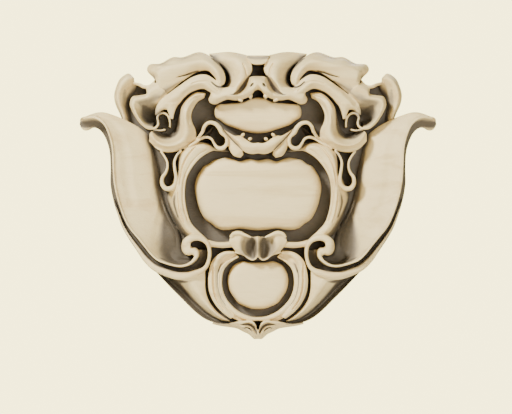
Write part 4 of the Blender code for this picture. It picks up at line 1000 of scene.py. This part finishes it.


# Limewood: years and fibre, then patina and painted shade, then the sawn back; tool marks and saw lines as
# bump
def limewood():
    material = bpy.data.materials.new("limewood")
    material.use_nodes = True
    tree = material.node_tree
    link = tree.links.new
    shader = tree.nodes["Principled BSDF"]
    grain = addNode(tree, "ShaderNodeGroup", (-1100, 300), node_tree=grainTree)
    grain.inputs["Streaks"].default_value = woodValues["streaks"]
    grain.inputs["Pores"].default_value = woodValues["pores"]
    hollowMask = addNode(tree, "ShaderNodeAttribute", (-1300, 0), attribute_name="hollow")
    crestMask = addNode(tree, "ShaderNodeAttribute", (-1300, -200), attribute_name="crest")
    patinaAndShade = addNode(tree, "ShaderNodeGroup", (-1100, 0), node_tree=patinaAndShadeTree)
    link(hollowMask.outputs["Fac"], patinaAndShade.inputs["Hollow"])
    link(crestMask.outputs["Fac"], patinaAndShade.inputs["Crest"])

    def blend(a, b, amount, at):
        mix = addNode(tree, "ShaderNodeMix", at, data_type="RGBA")
        for socket, source in ((mix.inputs[6], a), (mix.inputs[7], b), (mix.inputs[0], amount)):
            if isinstance(source, (tuple, float)):
                socket.default_value = source
            else:
                link(source, socket)
        return mix.outputs[2]

    def ramped(source, low, high, most, at):
        step = addNode(tree, "ShaderNodeMapRange", at, interpolation_type="SMOOTHSTEP")
        step.inputs["From Min"].default_value = low
        step.inputs["From Max"].default_value = high
        step.inputs["To Max"].default_value = most
        link(source, step.inputs["Value"])
        return step.outputs["Result"]

    streaks = ramped(grain.outputs["Years"], *woodValues["years"], (-850, 420))
    fibre = ramped(grain.outputs["Fibre"], *woodValues["fibre"], (-850, 250))
    wood = blend(woodValues["pale"], woodValues["warm"], streaks, (-600, 350))
    wood = blend(wood, woodValues["shade"], fibre, (-400, 350))
    # Painted shade with the wax: thin on the way down, deep in the hollows
    wood = blend(wood, woodValues["shade"], patinaAndShade.outputs["Thin"], (-200, 300))
    wood = blend(wood, woodValues["waxAndShade"], patinaAndShade.outputs["Deep"], (0, 300))
    coord = addNode(tree, "ShaderNodeTexCoord", (-1300, -500))
    split = addNode(tree, "ShaderNodeSeparateXYZ", (-1100, -500))
    link(coord.outputs["Object"], split.inputs[0])
    sawnRange = (woodValues["sawnFrom"], woodValues["sawnTo"])
    behind = ramped(split.outputs["Y"], *sawnRange, 1.0, (-850, -450))
    sawnShade = ramped(split.outputs["Y"], *sawnRange, woodValues["sawnMost"], (-850, -350))
    wood = blend(wood, woodValues["sawn"], sawnShade, (200, 250))
    link(wood, shader.inputs["Base Color"])

    roughness = addNode(tree, "ShaderNodeMath", (0, -50), operation="MULTIPLY_ADD")
    link(patinaAndShade.outputs["Rubbed"], roughness.inputs[0])
    roughness.inputs[1].default_value = woodValues["rubbed"]
    roughness.inputs[2].default_value = woodValues["roughness"]
    link(roughness.outputs[0], shader.inputs["Roughness"])
    shader.inputs["Specular IOR Level"].default_value = woodValues["specular"]

    tools = addNode(tree, "ShaderNodeTexVoronoi", (-850, -150), feature="SMOOTH_F1",
                    Scale=woodValues["toolScale"])
    tools.inputs["Smoothness"].default_value = woodValues["toolSoftness"]
    stretched = addNode(tree, "ShaderNodeMapping", (-1050, -250))
    stretched.inputs["Scale"].default_value = woodValues["alongTool"]
    link(coord.outputs["Object"], stretched.inputs["Vector"])
    link(stretched.outputs["Vector"], tools.inputs["Vector"])
    height = addNode(tree, "ShaderNodeMath", (-500, -150), operation="MULTIPLY_ADD")
    link(tools.outputs["Distance"], height.inputs[0])
    height.inputs[1].default_value = woodValues["toolHeight"]
    link(grain.outputs["Fibre"], height.inputs[2])
    saw = addNode(tree, "ShaderNodeTexWave", (-850, -650), bands_direction="X", Distortion=1.2, Detail=2.0,
                  Scale=woodValues["sawScale"])
    link(coord.outputs["Object"], saw.inputs["Vector"])
    sawn = addNode(tree, "ShaderNodeMath", (-500, -500), operation="MULTIPLY")
    link(saw.outputs["Fac"], sawn.inputs[0])
    link(behind, sawn.inputs[1])
    total = addNode(tree, "ShaderNodeMath", (-300, -250), operation="ADD")
    link(height.outputs[0], total.inputs[0])
    link(sawn.outputs[0], total.inputs[1])
    bump = addNode(tree, "ShaderNodeBump", (0, -250))
    bump.inputs["Strength"].default_value = woodValues["bump"]
    bump.inputs["Distance"].default_value = woodValues["bumpDistance"]
    link(total.outputs[0], bump.inputs["Height"])
    link(bump.outputs["Normal"], shader.inputs["Normal"])
    return material


carvingMesh.materials.clear()
carvingMesh.materials.append(limewood())
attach(carving, "root")
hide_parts("cartouche")
print("wood done")

# Room: pale floor below, a pale even background, soft light from the upper left.
# What the camera sees of the room is brighter than the light that it gives
def seenBrighter(tree, given, seen, socket):
    path = tree.nodes.new("ShaderNodeLightPath")
    level = tree.nodes.new("ShaderNodeMapRange")
    level.inputs["To Min"].default_value = given
    level.inputs["To Max"].default_value = seen
    tree.links.new(path.outputs["Is Camera Ray"], level.inputs["Value"])
    tree.links.new(level.outputs["Result"], socket)


roomValues = {
    "floor": -1.0,
    "reach": 5.0,
    "colour": (0.90, 0.85, 0.74, 1),
    "roughness": 0.9,
    "glow": (1.0, 0.88, 0.50, 1), "seen": 2.0,
}
reach = roomValues["reach"]
low = roomValues["floor"]
floorMesh = bpy.data.meshes.new("floor")
floorMesh.from_pydata([(-reach, -reach, low), (reach, -reach, low), (reach, reach, low),
                       (-reach, reach, low)],
                      [], [(0, 1, 2, 3)])
paleFloor = bpy.data.materials.new("paleFloor")
paleFloor.use_nodes = True
floorShader = paleFloor.node_tree.nodes["Principled BSDF"]
floorShader.inputs["Base Color"].default_value = roomValues["colour"]
floorShader.inputs["Roughness"].default_value = roomValues["roughness"]
floorShader.inputs["Emission Color"].default_value = roomValues["glow"]
seenBrighter(paleFloor.node_tree, 0.0, roomValues["seen"], floorShader.inputs["Emission Strength"])
floorMesh.materials.append(paleFloor)
floor = bpy.data.objects.new("floor", floorMesh)
bpy.context.scene.collection.objects.link(floor)

cameraValues = {
    "lens": 200.0, "sensor": 36.0,
    "frameWidth": 1.024,    # m across the frame, at the centre
    "centre": (-0.004, -0.056, -0.024),
    "reach": 50,
}
cameraData = bpy.data.cameras.new("camera")
cameraData.lens = cameraValues["lens"]
cameraData.sensor_width = cameraValues["sensor"]
cameraData.clip_end = cameraValues["reach"]
camera = bpy.data.objects.new("camera", cameraData)
distance = cameraValues["lens"] * cameraValues["frameWidth"] / cameraValues["sensor"]
camera.location = Vector(cameraValues["centre"]) + Vector((0, -distance, 0))
camera.rotation_euler = (math.radians(90), 0, 0)
bpy.context.scene.collection.objects.link(camera)
bpy.context.scene.camera = camera

lightValues = {
    "key": {"at": (-2.2, -2.8, 2.3), "size": 0.7, "power": 330},
    "fill": {"at": (1.6, -4.0, 0.3), "size": 2.4, "power": 110},
    "back": {"at": (1.0, 3.5, 2.0), "size": 2.0, "power": 120},
}
for name, light in lightValues.items():
    lamp = bpy.data.lights.new(name, "AREA")
    lamp.energy = light["power"]
    lamp.size = light["size"]
    lampObject = bpy.data.objects.new(name, lamp)
    lampObject.location = light["at"]
    lampObject.rotation_euler = (-Vector(light["at"])).to_track_quat("-Z", "Y").to_euler()
    bpy.context.scene.collection.objects.link(lampObject)

skyValues = {"colour": (1.0, 0.88, 0.40, 1), "seen": 5.4, "given": 0.26}
world = bpy.data.worlds.new("room")
world.use_nodes = True
sky = world.node_tree
background = sky.nodes["Background"]
background.inputs["Color"].default_value = skyValues["colour"]
seenBrighter(sky, skyValues["given"], skyValues["seen"], background.inputs["Strength"])
bpy.context.scene.world = world
print("camera and light done")
